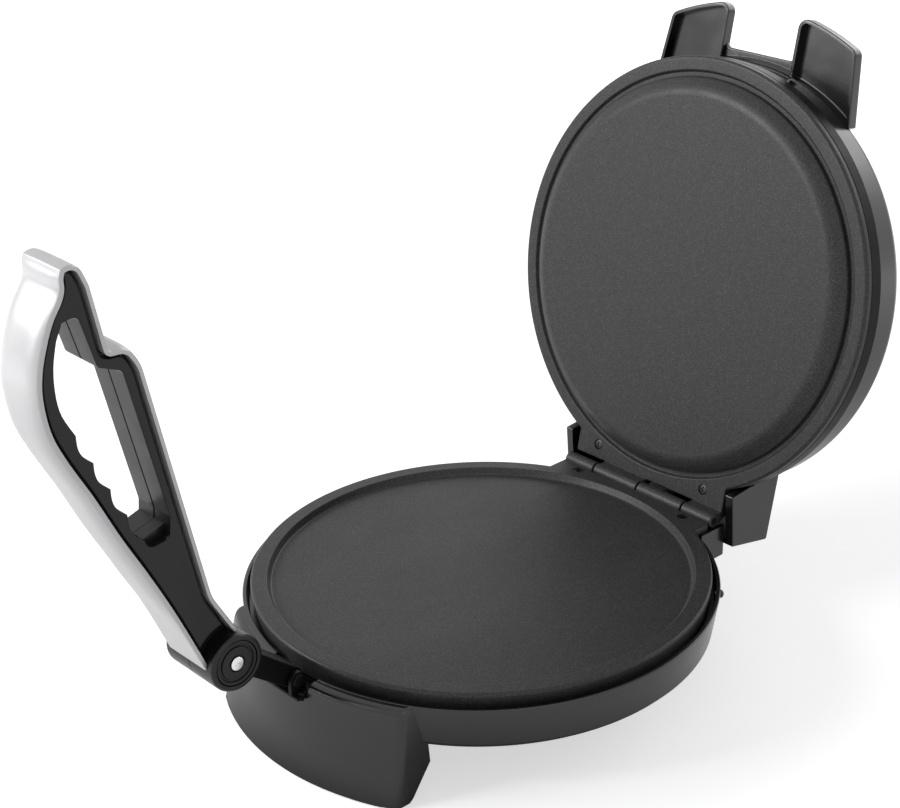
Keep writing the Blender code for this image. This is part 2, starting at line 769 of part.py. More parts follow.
def base_shell():
    """The glossy moulding: wall, plate ledge, bottom flange, front foot and rear box."""
    ledge_foot = LEDGE_TOP - WALL
    shell = lathe(
        "base_shell",
        [
            (SHELL_RADIUS, SHELL_TOP),
            (SHELL_RADIUS - WALL, SHELL_TOP),
            (shell_radius(LEDGE_TOP, WALL), LEDGE_TOP),
            (LEDGE_RADIUS, LEDGE_TOP),
            (LEDGE_RADIUS, ledge_foot),
            (shell_radius(ledge_foot, WALL), ledge_foot),
            (shell_radius(SHELL_FLOOR + WALL, WALL), SHELL_FLOOR + WALL),
            (FLANGE_RADIUS, SHELL_FLOOR + WALL),
            (FLANGE_RADIUS, SHELL_FLOOR),
            (SHELL_FLOOR_RADIUS, SHELL_FLOOR),
        ],
    )
    join(shell, front_foot(), rear_box(), solver=SHELL_SOLVER)
    inside_x = BOX_HALF_WIDTH - WALL
    inside_rear = BOX_REAR - WALL
    well = box("well", (-inside_x, 0, SHELL_FLOOR + WALL + GAP), (inside_x, inside_rear, OVERRUN))
    brow = box("brow", (-inside_x, 0, -BOX_REAR_DROP), (inside_x, BOX_REAR + OVERRUN, OVERRUN))
    notch = box(
        "notch",
        (-NOTCH_HALF_WIDTH, -SHELL_RADIUS - FOOT_REACH - OVERRUN, NOTCH_FLOOR),
        (NOTCH_HALF_WIDTH, -NOTCH_BACK, OVERRUN),
    )
    cut(shell, well, brow, foot_hollow(), shell_door(), notch, solver=SHELL_SOLVER)
    boss_top = -PLATE_SKIRT_DEPTH - GAP
    bosses = [
        drill("boss", x, LOWER_TAB_SCREW_Y, TAB_BOSS_RADIUS, SHELL_FLOOR + WALL / 2, boss_top)
        for x in (-TAB_SCREW_X, TAB_SCREW_X)
    ]
    join(shell, *bosses, solver=SHELL_SOLVER)
    holes = []
    for x, y in cover_screw_places():
        holes.append(drill("hole", x, y, SCREW_HOLE, SHELL_FLOOR - OVERRUN, LEDGE_TOP - WALL))
    for x in (-TAB_SCREW_X, TAB_SCREW_X):
        low = -SCREW_SINK - TAB_SCREW_LENGTH - GAP
        holes.append(drill("hole", x, LOWER_TAB_SCREW_Y, SCREW_HOLE, low, OVERRUN))
    for x in (-FRONT_PAD_X, FRONT_PAD_X):
        holes.append(front_pad("seat", x, GAP, SOLE - OVERRUN, SOLE + PAD_SINK))
    for x in (-bracket_screw_x(), bracket_screw_x()):
        low = NOTCH_FLOOR - WALL - OVERRUN
        holes.append(drill("hole", x, LINK_Y, SCREW_HOLE, low, NOTCH_FLOOR + OVERRUN))
    holes.append(inlet_hole())
    holes.append(lens_hole())
    return cut(shell, *holes, solver=SHELL_SOLVER)


def cover_screw_places():
    """Four points round the flange, each a quarter turn from the next."""
    first = math.pi / 4
    return [
        (COVER_SCREW_RADIUS * math.cos(first + turn), COVER_SCREW_RADIUS * math.sin(first + turn))
        for turn in (0, math.pi / 2, math.pi, 3 * math.pi / 2)
    ]


def bracket_screw_x():
    return BRACKET_OUTER_X + BRACKET_FLANGE_WIDTH / 2


def front_pad(name, x, margin, low, high):
    """A pad along the front foot's sole, about a point of its middle line, grown by a margin."""
    middle = SHELL_RADIUS + FOOT_REACH - FOOT_SOLE_WIDTH / 2
    centre = math.asin(x / middle) - math.pi / 2
    half = FRONT_PAD_LENGTH / 2 / middle + margin / middle
    side = FRONT_PAD_WIDTH / 2 + margin
    outer = arc((0, 0), middle + side, centre - half, centre + half, CORNER_STEPS)
    inner = arc((0, 0), middle - side, centre + half, centre - half, CORNER_STEPS)
    return slab(name, outer + inner, low, high)


def inlet_hole():
    circle_points = circle((INLET_Y, INLET_Z), INLET_RADIUS + GAP)
    return cheek("hole", circle_points, -BOX_HALF_WIDTH - OVERRUN, -BOX_HALF_WIDTH + OVERRUN)


def lens_hole():
    """A radial hole through the shell's wall for the lens."""
    hole = slab("hole", circle((0, 0), LENS_STEM_RADIUS + GAP), -OVERRUN, OVERRUN)
    turn_radially(hole, shell_radius(SHELL_TOP - LENS_DROP, WALL / 2))
    return hole


def turn_radially(item, radius):
    """Turns a piece's Z to point out of the shell at the lens, and moves it out to a radius."""
    item.rotation_euler = (0, math.pi / 2, LENS_ANGLE)
    x = radius * math.cos(LENS_ANGLE)
    y = radius * math.sin(LENS_ANGLE)
    item.location = (x, y, SHELL_TOP - LENS_DROP)
    bpy.context.view_layer.update()


def bottom_cover():
    cover = slab("bottom_cover", circle((0, 0), COVER_RADIUS, ROUND_STEPS), COVER_BOTTOM, COVER_TOP)
    low = COVER_BOTTOM - OVERRUN
    high = COVER_TOP + OVERRUN
    holes = [drill("hole", x, y, SCREW_HOLE, low, high) for x, y in cover_screw_places()]
    holes += [drill("hole", x, REAR_FOOT_Y, SCREW_HOLE, low, high) for x in (-REAR_POST_X, REAR_POST_X)]
    return cut(cover, *holes)


def rear_foot():
    """A hollow block under the cover, with two posts for its screws and two pad seats."""
    top = COVER_BOTTOM - GAP
    outlines = []
    for inset in (0, WALL):
        half = REAR_FOOT_HALF_WIDTH - inset
        deep = REAR_FOOT_DEPTH / 2 - inset
        corner = REAR_FOOT_CORNER - inset
        outlines.append(
            rounded(
                [
                    (-half, REAR_FOOT_Y - deep, corner),
                    (half, REAR_FOOT_Y - deep, corner),
                    (half, REAR_FOOT_Y + deep, corner),
                    (-half, REAR_FOOT_Y + deep, corner),
                ]
            )
        )
    foot = slab("rear_foot", outlines[0], SOLE, top)
    cut(foot, slab("hollow", outlines[1], SOLE + WALL, top + OVERRUN))
    posts = (-REAR_POST_X, REAR_POST_X)
    join(foot, *[drill("post", x, REAR_FOOT_Y, REAR_POST_RADIUS, SOLE + WALL / 2, top) for x in posts])
    seat = SOLE + REAR_POST_SINK
    holes = []
    for x in posts:
        holes.append(drill("hole", x, REAR_FOOT_Y, SCREW_HOLE, SOLE - OVERRUN, top + OVERRUN))
        holes.append(drill("sink", x, REAR_FOOT_Y, SCREW_SEAT, SOLE - OVERRUN, seat))
    for x in (-REAR_PAD_X, REAR_PAD_X):
        holes.append(drill("seat", x, REAR_FOOT_Y, REAR_PAD_RADIUS + GAP, SOLE - OVERRUN, SOLE + PAD_SINK))
    return cut(foot, *holes)


def element(name, height):
    """A heating bar bent into an open ring, with two tails towards the hinge."""
    start = math.pi / 2 + ELEMENT_LOOP_GAP
    end = math.pi / 2 - ELEMENT_LOOP_GAP + math.tau
    ring = arc((0, 0), ELEMENT_LOOP_RADIUS, start, end, ELEMENT_LOOP_STEPS)
    tail = Vector((0, ELEMENT_TAIL))
    path = [ring[0] + tail, *ring, ring[-1] + tail]
    return tube(name, [(x, y, height) for x, y in path], ELEMENT_RADIUS)


def reflector(name, rim, floor, radius):
    """A sheet pan between a rim height at the plate and its floor."""
    away = math.copysign(REFLECTOR_SHEET, floor - rim)
    return lathe(
        name,
        [
            (0, floor),
            (radius - REFLECTOR_SHEET, floor),
            (radius - REFLECTOR_SHEET, rim),
            (radius, rim),
            (radius, floor + away),
            (0, floor + away),
        ],
        HIDDEN_STEPS,
    )


def terminal_block(low):
    rear = TAB_REAR - TERMINAL_DEPTH / 2
    block = box(
        "terminal_block",
        (-TERMINAL_HALF_WIDTH, rear - TERMINAL_DEPTH / 2, low),
        (TERMINAL_HALF_WIDTH, rear + TERMINAL_DEPTH / 2, low + TERMINAL_HEIGHT),
    )
    pitch = 2 * TERMINAL_HALF_WIDTH / TERMINAL_PORTS
    ports = []
    for index in range(TERMINAL_PORTS):
        x = pitch * (index + 1 / 2) - TERMINAL_HALF_WIDTH
        floor = low + TERMINAL_HEIGHT / 2
        ports.append(drill("port", x, rear, TERMINAL_PORT_RADIUS, floor, low + TERMINAL_HEIGHT + OVERRUN))
    return cut(block, *ports)


def indicator_lens():
    """A domed lens with a stem through the shell's wall, along its own Z."""
    seat = WALL / 2 + GAP
    dome = [(LENS_RADIUS * across, seat + LENS_PROUD * up) for across, up in LENS_DOME_SHARES]
    lens = lathe(
        "indicator_lens",
        [
            (0, -WALL / 2 - GAP),
            (LENS_STEM_RADIUS, -WALL / 2 - GAP),
            (LENS_STEM_RADIUS, seat),
            *dome,
            (0, seat + LENS_PROUD),
        ],
        SMALL_STEPS,
    )
    turn_radially(lens, shell_radius(SHELL_TOP - LENS_DROP, WALL / 2))
    return lens


def cord_inlet():
    """A grommet in the box's left wall: a flange outside, a stem through it and a bore."""
    outside = GAP
    inside = -WALL - GAP - INLET_TAIL
    return lathe(
        "cord_inlet",
        [
            (INLET_BORE_RADIUS, outside + INLET_FLANGE),
            (INLET_BORE_RADIUS, inside),
            (INLET_RADIUS, inside),
            (INLET_RADIUS, outside),
            (INLET_FLANGE_RADIUS, outside),
            (INLET_FLANGE_RADIUS, outside + INLET_FLANGE),
        ],
        SMALL_STEPS,
    )


def pivot_bracket():
    """A folded bracket on the notch's floor: a base with two flanges, and two cheeks round the link."""
    low = NOTCH_FLOOR + GAP
    high = low + BRACKET_BASE
    reach = BRACKET_OUTER_X + BRACKET_FLANGE_WIDTH
    bracket = box(
        "pivot_bracket",
        (-reach, LINK_Y - BRACKET_CHEEK_RADIUS, low),
        (reach, LINK_Y + BRACKET_CHEEK_RADIUS, high),
    )
    top = arc((LINK_Y, LINK_Z), BRACKET_CHEEK_RADIUS, 0, math.pi, SMALL_STEPS // 2)
    middle = (low + high) / 2
    outline = [
        *top,
        Vector((LINK_Y - BRACKET_CHEEK_RADIUS, middle)),
        Vector((LINK_Y + BRACKET_CHEEK_RADIUS, middle)),
    ]
    join(bracket, cheek("left", outline, -BRACKET_OUTER_X, -BRACKET_INNER_X))
    join(bracket, cheek("right", outline, BRACKET_INNER_X, BRACKET_OUTER_X))
    holes = [cheek("bore", circle((LINK_Y, LINK_Z), LINK_PIN_RADIUS + GAP), -reach, reach)]
    for x in (-bracket_screw_x(), bracket_screw_x()):
        holes.append(drill("hole", x, LINK_Y, SCREW_HOLE, low - OVERRUN, high + OVERRUN))
    return cut(bracket, *holes)


def pin(name, radius, half_length, head_radius, head):
    """A pin along Z with a head at each end, or plain where the head has no height."""
    profile = [(0, half_length), (radius, half_length), (radius, -half_length), (0, -half_length)]
    if head:
        end = half_length + head
        profile = [
            (0, end),
            (head_radius, end),
            (head_radius, half_length),
            (radius, half_length),
            (radius, -half_length),
            (head_radius, -half_length),
            (head_radius, -end),
            (0, -end),
        ]
    return lathe(name, profile, SMALL_STEPS)


def lid_dome(name, inset):
    """The lid's round outline as a solid, inset by its wall."""
    edge = LID_EDGE - (OVERRUN if inset else 0)
    radius = LID_RADIUS - inset
    shoulder = LID_SHOULDER - inset
    top = LID_TOP - inset
    centre = (radius - LID_DRAFT - shoulder, top - shoulder)
    side = arc(centre, shoulder, 0, math.pi / 2, CORNER_STEPS + 2)
    return lathe(name, [(0, edge), (radius, edge), *[tuple(p) for p in side], (0, top)])


def lid_box():
    """The two cheeks, rear wall and top that carry the lid's shell back over the hinge."""
    front_low = HINGE_Y - LID_BOX_FRONT_LOW
    front_high = HINGE_Y - LID_BOX_FRONT_HIGH
    root = HINGE_Y - LID_BOX_FRONT_HIGH - LID_SHOULDER
    outline = rounded(
        [
            (root, LID_EDGE, 0),
            (front_high, LID_EDGE, 0),
            (front_low, HINGE_Z + LID_BOX_LOW, 0),
            (LID_BOX_REAR, HINGE_Z + LID_BOX_REAR_LOW, 0),
            (LID_BOX_REAR, LID_TOP, LID_BOX_CORNER),
            (root, LID_TOP, 0),
        ]
    )
    shape = cheek("lid_box", outline, -LID_BOX_OUTER_X, LID_BOX_OUTER_X)
    around = circle((0, 0), UPPER_RADIUS + LID_BOX_CLEARANCE, ROUND_STEPS)
    return cut(shape, slab("around", around, -OVERRUN, LID_EDGE - GAP))


def horn_outline(side, inset):
    """One horn's outline in plan: inner side, arc of its end, outer side slanting to its foot."""
    reach = LID_RADIUS + HORN_REACH - inset
    low = HORN_INNER_X + inset
    high = HORN_OUTER_X - inset
    start = math.asin(low / reach)
    end = math.asin(high / reach)
    tip = arc((0, 0), reach, start - math.pi / 2, end - math.pi / 2, HORN_ARC_STEPS)
    corners = [(low, -LID_RADIUS + HORN_ROOT, 0)]
    corners += [(x, y, 0) for x, y in tip]
    corners[1] = (*tip[0], HORN_CORNER - inset)
    corners[-1] = (*tip[-1], HORN_CORNER - inset)
    foot_y = -LID_RADIUS + HORN_FOOT_SETBACK
    corners.append((HORN_FOOT_X - inset, foot_y, 0))
    corners.append((HORN_FOOT_X - inset - HORN_ROOT, foot_y + HORN_ROOT / 2, 0))
    return [(side * x, y) for x, y in rounded(corners)]


def bulge(name, inset):
    """The wall between the horns, a little proud of the lid's side."""
    low = LID_EDGE - (OVERRUN if inset else 0)
    high = LID_EDGE + BULGE_HEIGHT - inset
    outer = LID_RADIUS + BULGE_REACH - inset
    inner = LID_RADIUS - WALL - inset
    half = HORN_INNER_X - inset
    rings = []
    for z in (low, high):
        spread = math.asin(half / outer)
        front = arc((0, 0), outer, -math.pi / 2 - spread, -math.pi / 2 + spread, FOOT_ARC_STEPS // 2)
        spread = math.asin(half / inner)
        back = arc((0, 0), inner, -math.pi / 2 + spread, -math.pi / 2 - spread, FOOT_ARC_STEPS // 2)
        rings.append([(x, y, z) for x, y in front + back])
    return loft(name, rings)


def lid_shell():
    """The lid's glossy moulding: round shell, rear box, two horns and the bulging wall between them."""
    shell = lid_dome("lid_shell", 0)
    join(shell, lid_box(), bulge("bulge", 0), solver=SHELL_SOLVER)
    for side in (-1, 1):
        horn = slab("horn", horn_outline(side, 0), LID_TOP - HORN_DEPTH, LID_TOP)
        join(shell, horn, solver=SHELL_SOLVER)
    cut(shell, lid_dome("inside", WALL), solver=SHELL_SOLVER)
    room = box(
        "room",
        (-LID_BOX_INNER_X, 0, -OVERRUN),
        (LID_BOX_INNER_X, LID_BOX_REAR - WALL, LID_TOP - WALL - GAP),
    )
    cut(shell, room, bulge("bulge_hollow", WALL), solver=SHELL_SOLVER)
    for side in (-1, 1):
        scoop = slab("scoop", horn_outline(side, HORN_WALL), LID_EDGE - OVERRUN, LID_TOP - HORN_WALL)
        cut(shell, scoop, solver=SHELL_SOLVER)
    bosses = []
    holes = []
    for x in (-TAB_SCREW_X, TAB_SCREW_X):
        low = UPPER_WALL_TOP + GAP
        deep = RIM_PARTING + SCREW_SINK + TAB_SCREW_LENGTH + GAP
        bosses.append(drill("boss", x, UPPER_TAB_SCREW_Y, TAB_BOSS_RADIUS, low, LID_TOP - WALL / 2))
        holes.append(drill("hole", x, UPPER_TAB_SCREW_Y, SCREW_HOLE, low - OVERRUN, deep))
    join(shell, *bosses, solver=SHELL_SOLVER)
    return cut(shell, *holes, solver=SHELL_SOLVER)


def link_arm():
    """A flat arm from the root pin to a large eye in the barrel, along its own Y."""
    half = math.asin(LINK_NECK / LINK_EYE_RADIUS)
    outline = [
        *arc((0, 0), LINK_ROOT_RADIUS, math.pi / 2, 3 * math.pi / 2, SMALL_STEPS // 2),
        *arc((LINK_LENGTH, 0), LINK_EYE_RADIUS, -math.pi + half, math.pi - half, SMALL_STEPS),
    ]
    arm = cheek("link_arm", outline, -LINK_HALF_WIDTH, LINK_HALF_WIDTH)
    reach = LINK_HALF_WIDTH + OVERRUN
    root = cheek("root", circle((0, 0), LINK_PIN_RADIUS + GAP), -reach, reach)
    eye = cheek("eye", circle((LINK_LENGTH, 0), AXLE_RADIUS + GAP), -reach, reach)
    return cut(arm, root, eye)


def handle_chain():
    """The handle's outline from its root at the back, over the tip, to its root at the front."""
    back = [(HANDLE_LENGTH * along, HANDLE_LENGTH * up) for along, up in HANDLE_BACK_SHARES]
    front = [tuple(HANDLE_LENGTH * share for share in corner) for corner in HANDLE_FRONT_SHARES]
    curve = smooth(back, HANDLE_BACK_STEPS)
    corners = [(*curve[-1], 0.0), *front]
    chain = curve[:-1] + rounded(corners, closed=False)
    return [Vector(point) for point in chain]


def inset_chain(distance, root):
    """The handle's outline moved in by a distance, with both its ends carried on to a root."""
    chain = handle_chain()
    inner = moved(chain, [-distance] * len(chain))
    return [Vector((root, inner[0].y)), *inner, Vector((root, inner[-1].y))]


def handle_band():
    """The crowned band round the handle's edge, open at the barrel."""
    chain = handle_chain()
    normals = outward_normals(chain)
    rings = []
    for share in BAND_STATION_SHARES:
        crown = BAND_CROWN * (1 - abs(share) ** BAND_CROWN_POWER)
        swell = [
            crown * (BAND_INNER_CROWN_SHARE + (1 - BAND_INNER_CROWN_SHARE) * (1 + side.y) / 2)
            for side in normals
        ]
        rings.append([(BAND_HALF_WIDTH * share, y, z) for y, z in moved(chain, swell)])
    band = loft("handle_band", rings)
    reach = BAND_HALF_WIDTH + OVERRUN
    inside = cheek("inside", inset_chain(BAND_WALL, -BARREL_RADIUS), -reach, reach)
    barrel = cheek("barrel", circle((0, 0), BARREL_RADIUS + GAP, HIDDEN_STEPS), -reach, reach)
    return cut(band, inside, barrel)


def hole_outline():
    """The finger hole: a rounded rim, four scallops and a curved back."""
    rim = [tuple(HANDLE_LENGTH * share for share in corner) for corner in HOLE_RIM_SHARES]
    start = Vector(SCALLOP_START_SHARES) * HANDLE_LENGTH
    end = Vector(SCALLOP_END_SHARES) * HANDLE_LENGTH
    pitch = (end - start) / SCALLOPS
    out = Vector((-pitch.y, pitch.x)).normalized()
    corners = list(rim)
    for index in range(SCALLOPS):
        for t in np.linspace(0, 1, SCALLOP_STEPS, endpoint=False):
            point = start + pitch * (index + t) + out * (SCALLOP_SAGITTA * math.sin(math.pi * t))
            corners.append((*point, 0.0))
    corners.append((*end, 0.0))
    corners += [(HANDLE_LENGTH * along, HANDLE_LENGTH * up, 0.0) for along, up in HOLE_BACK_SHARES]
    return rounded(corners)


def slot_outline():
    """The space that the link's arm sweeps round the barrel, between the two ends of the handle's swing."""
    reach = 2 * BARREL_RADIUS
    side = LINK_NECK + GAP + GAP
    rest = LINK_REST + math.pi - HANDLE_REST
    closed = LINK_CLOSED + math.pi - HANDLE_CLOSED
    along_rest = Vector((math.cos(rest), math.sin(rest)))
    along_closed = Vector((math.cos(closed), math.sin(closed)))
    across_rest = Vector((along_rest.y, -along_rest.x)) * -side
    across_closed = Vector((along_closed.y, -along_closed.x)) * side
    swing = (along_rest + along_closed).normalized() * (2 * reach)
    return [
        -across_closed,
        -across_closed + along_closed * reach,
        swing,
        -across_rest + along_rest * reach,
        -across_rest,
    ]


def handle_half(name, side):
    """Half of the core with its half of the barrel. The two halves meet at X = 0."""
    seam = GAP / 2

    def span(outline, low, high):
        ends = sorted((side * low, side * high))
        return cheek(name, outline, *ends)

    half = span(inset_chain(BAND_WALL + GAP, CORE_ROOT), seam, CORE_HALF_WIDTH)
    half.name = name
    join(half, span(circle((0, 0), BARREL_RADIUS, HIDDEN_STEPS), seam, BARREL_HALF_LENGTH))
    far = BARREL_HALF_LENGTH + OVERRUN
    seat = BARREL_HALF_LENGTH - CAP_SINK - CAP_THICKNESS - GAP
    cut(
        half,
        span(hole_outline(), -OVERRUN, far),
        span(circle((0, 0), LINK_EYE_RADIUS + GAP, HIDDEN_STEPS), -OVERRUN, SLOT_HALF_WIDTH),
        span(slot_outline(), -OVERRUN, SLOT_HALF_WIDTH),
        span(circle((0, 0), AXLE_RADIUS + GAP), -OVERRUN, far),
        span(circle((0, 0), CAP_RADIUS + GAP, HIDDEN_STEPS), seat, far),
    )
    for along, up in HANDLE_SCREW_SHARES:
        place = (HANDLE_LENGTH * along, HANDLE_LENGTH * up)
        if side < 0:
            head = CORE_HALF_WIDTH - HANDLE_SCREW_SINK - SCREW_HEAD_HEIGHT - GAP
            cut(half, span(circle(place, SCREW_SEAT), head, far))
            cut(half, span(circle(place, SCREW_HOLE), -OVERRUN, far))
        else:
            tip = HANDLE_SCREW_LENGTH - (CORE_HALF_WIDTH - HANDLE_SCREW_SINK) + GAP
            cut(half, span(circle(place, SCREW_HOLE), -OVERRUN, tip))
    return half


def pivot_cap(name):
    """The disc in the barrel's end, with a seat for its screw, along its own Z."""
    return lathe(
        name,
        [
            (SCREW_HOLE, 0),
            (SCREW_HOLE, CAP_THICKNESS - CAP_SCREW_SEAT),
            (SCREW_SEAT, CAP_THICKNESS - CAP_SCREW_SEAT),
            (SCREW_SEAT, CAP_THICKNESS),
            (CAP_RADIUS, CAP_THICKNESS),
            (CAP_RADIUS, 0),
        ],
        HIDDEN_STEPS,
    )


def pivot_axle():
    """The bar through the barrel and the link's eye, bored at both ends for its screws."""
    half = BARREL_HALF_LENGTH - CAP_SINK - CAP_THICKNESS - GAP - GAP
    axle = cheek("pivot_axle", circle((0, 0), AXLE_RADIUS), -half, half)
    bores = []
    for side in (-1, 1):
        ends = sorted((side * (half - CAP_SCREW_LENGTH), side * (half + OVERRUN)))
        bores.append(cheek("bore", circle((0, 0), SCREW_HOLE), *ends))
    return cut(axle, *bores)


def make_base(root, looks):
    dress(base_shell(), looks["gloss_black"], root)
    dress(bottom_cover(), looks["matte_black"], root)
    dress(rear_foot(), looks["gloss_black"], root)
    dress(lower_plate(), looks["nonstick"], root)
    under = COVER_BOTTOM - GAP - SCREW_HEAD_HEIGHT
    upside_down = (math.pi, 0, 0)
    for index, (x, y) in enumerate(cover_screw_places(), 1):
        piece = screw(f"bottom_screw_{index}", COVER_SCREW_LENGTH)
        dress(piece, looks["steel"], root, (x, y, under), upside_down)
    for side, x in (("left", -REAR_POST_X), ("right", REAR_POST_X)):
        piece = screw(f"rear_foot_screw_{side}", REAR_SCREW_LENGTH)
        height = SOLE + REAR_POST_SINK - GAP - SCREW_HEAD_HEIGHT
        dress(piece, looks["steel"], root, (x, REAR_FOOT_Y, height), upside_down)
    low = SOLE - PAD_PROUD
    high = SOLE + PAD_SINK - GAP
    for side, x in (("left", -FRONT_PAD_X), ("right", FRONT_PAD_X)):
        dress(front_pad(f"front_pad_{side}", x, 0, low, high), looks["rubber"], root)
    for side, x in (("left", -REAR_PAD_X), ("right", REAR_PAD_X)):
        piece = drill(f"rear_pad_{side}", x, REAR_FOOT_Y, REAR_PAD_RADIUS, low, high)
        dress(piece, looks["rubber"], root)
    for side, x in (("left", -TAB_SCREW_X), ("right", TAB_SCREW_X)):
        piece = screw(f"lower_tab_screw_{side}", TAB_SCREW_LENGTH)
        dress(piece, looks["black_steel"], root, (x, LOWER_TAB_SCREW_Y, -SCREW_SINK))
    dress(hinge_pin(), looks["steel"], root, (0, HINGE_Y, HINGE_Z), (0, math.pi / 2, 0))
    make_electrics(root, looks)
    make_bracket(root, looks)


def hinge_pin():
    return pin("hinge_pin", HINGE_PIN_RADIUS, KNUCKLE_SPAN, 0, 0)


def make_electrics(root, looks):
    """The heating, control and wiring pieces in the base."""
    height = PLATE_BACK - GAP - ELEMENT_RADIUS
    dress(element("lower_element", height), looks["steel"], root)
    floor = height - ELEMENT_RADIUS - REFLECTOR_GAP
    radius = PLATE_RADIUS - PLATE_DRAFT - PLATE_SKIRT_WALL - REFLECTOR_INSET
    dress(reflector("lower_reflector", PLATE_BACK - GAP, floor, radius), looks["aluminium"], root)
    under = floor - REFLECTOR_SHEET - GAP
    disc = lathe(
        "thermostat",
        [
            (0, 0),
            (THERMOSTAT_RADIUS, 0),
            (THERMOSTAT_RADIUS, -THERMOSTAT_HEIGHT),
            (0, -THERMOSTAT_HEIGHT),
        ],
        SMALL_STEPS,
    )
    dress(disc, looks["ceramic"], root, (0, THERMOSTAT_Y, under))
    fuse = pin("thermal_fuse", FUSE_RADIUS, FUSE_LENGTH / 2, 0, 0)
    dress(fuse, looks["aluminium"], root, (FUSE_X, 0, under - FUSE_RADIUS), (math.pi / 2, 0, 0))
    dress(terminal_block(SHELL_FLOOR + WALL + 2 * GAP), looks["ceramic"], root)
    lens = indicator_lens()
    dress(lens, looks["lens"], root, tuple(lens.location), tuple(lens.rotation_euler))
    wall = (-BOX_HALF_WIDTH, INLET_Y, INLET_Z)
    dress(cord_inlet(), looks["rubber"], root, wall, (0, -math.pi / 2, 0))


def make_bracket(root, looks):
    """The bracket in the notch, its two screws and the pin that the link turns on."""
    dress(pivot_bracket(), looks["black_steel"], root)
    height = NOTCH_FLOOR + GAP + BRACKET_BASE + GAP + SCREW_HEAD_HEIGHT
    for side, x in (("left", -bracket_screw_x()), ("right", bracket_screw_x())):
        length = height - NOTCH_FLOOR + WALL
        piece = screw(f"bracket_screw_{side}", length, BRACKET_FLANGE_WIDTH / 2 - GAP)
        dress(piece, looks["steel"], root, (x, LINK_Y, height))
    half = BRACKET_OUTER_X + GAP
    piece = pin("link_pin", LINK_PIN_RADIUS, half, LINK_PIN_HEAD_RADIUS, LINK_PIN_HEAD)
    dress(piece, looks["steel"], root, (0, LINK_Y, LINK_Z), (0, math.pi / 2, 0))


def make_lid(root, looks):
    """The lid's pieces, closed, below an empty on the hinge's axis that throws them back."""
    hinge = empty("lid_hinge", root, (0, HINGE_Y, HINGE_Z), -OPEN_ANGLE)
    closed = empty("lid_closed_frame", hinge, (0, -HINGE_Y, -HINGE_Z))
    dress(lid_shell(), looks["gloss_black"], closed)
    dress(upper_plate(), looks["nonstick"], closed)
    height = PAD_BACK + GAP + ELEMENT_RADIUS
    dress(element("upper_element", height), looks["steel"], closed)
    floor = height + ELEMENT_RADIUS + REFLECTOR_GAP
    radius = PAD_RADIUS + REFLECTOR_INSET
    dress(reflector("upper_reflector", UPPER_BACK + GAP, floor, radius), looks["aluminium"], closed)
    for side, x in (("left", -TAB_SCREW_X), ("right", TAB_SCREW_X)):
        piece = screw(f"upper_tab_screw_{side}", TAB_SCREW_LENGTH)
        place = (x, UPPER_TAB_SCREW_Y, RIM_PARTING + SCREW_SINK)
        dress(piece, looks["black_steel"], closed, place, (math.pi, 0, 0))


def make_handle(root, looks):
    """The link on its root pin, and the handle on the link's far end."""
    link = empty("link_hinge", root, (0, LINK_Y, LINK_Z), LINK_REST)
    dress(link_arm(), looks["matte_black"], link)
    handle = empty("handle_hinge", link, (0, LINK_LENGTH, 0), HANDLE_REST - LINK_REST)
    dress(handle_half("handle_half_left", -1), looks["matte_black"], handle)
    dress(handle_half("handle_half_right", 1), looks["matte_black"], handle)
    dress(handle_band(), looks["silver"], handle)
    dress(pivot_axle(), looks["steel"], handle)
    seat = BARREL_HALF_LENGTH - CAP_SINK - CAP_THICKNESS
    face = seat + CAP_THICKNESS - CAP_SCREW_SEAT + GAP + SCREW_HEAD_HEIGHT
    for side, sign in (("left", -1), ("right", 1)):
        turn = (0, sign * math.pi / 2, 0)
        dress(pivot_cap(f"pivot_cap_{side}"), looks["matte_black"], handle, (sign * seat, 0, 0), turn)
        piece = screw(f"pivot_screw_{side}", CAP_SCREW_LENGTH)
        dress(piece, looks["chrome"], handle, (sign * face, 0, 0), turn)
    for index, (along, up) in enumerate(HANDLE_SCREW_SHARES, 1):
        piece = screw(f"handle_screw_{index}", HANDLE_SCREW_LENGTH)
        head = -CORE_HALF_WIDTH + HANDLE_SCREW_SINK
        place = (head, HANDLE_LENGTH * along, HANDLE_LENGTH * up)
        dress(piece, looks["steel"], handle, place, (0, -math.pi / 2, 0))


def stand_on_floor(root):
    """Moves the assembly so that its box's lowest face is z = 0 and its footprint is centred."""
    bpy.context.view_layer.update()
    graph = bpy.context.evaluated_depsgraph_get()
    corners = []
    for item in bpy.data.objects:
        if item.type in ("MESH", "CURVE"):
            shape = item.evaluated_get(graph)
            mesh = shape.to_mesh()
            corners += [shape.matrix_world @ vertex.co for vertex in mesh.vertices]
            shape.to_mesh_clear()
    corners = np.array(corners)
    low = corners.min(axis=0)
    high = corners.max(axis=0)
    root.location = (-(low[0] + high[0]) / 2, -(low[1] + high[1]) / 2, -low[2])
    bpy.context.view_layer.update()


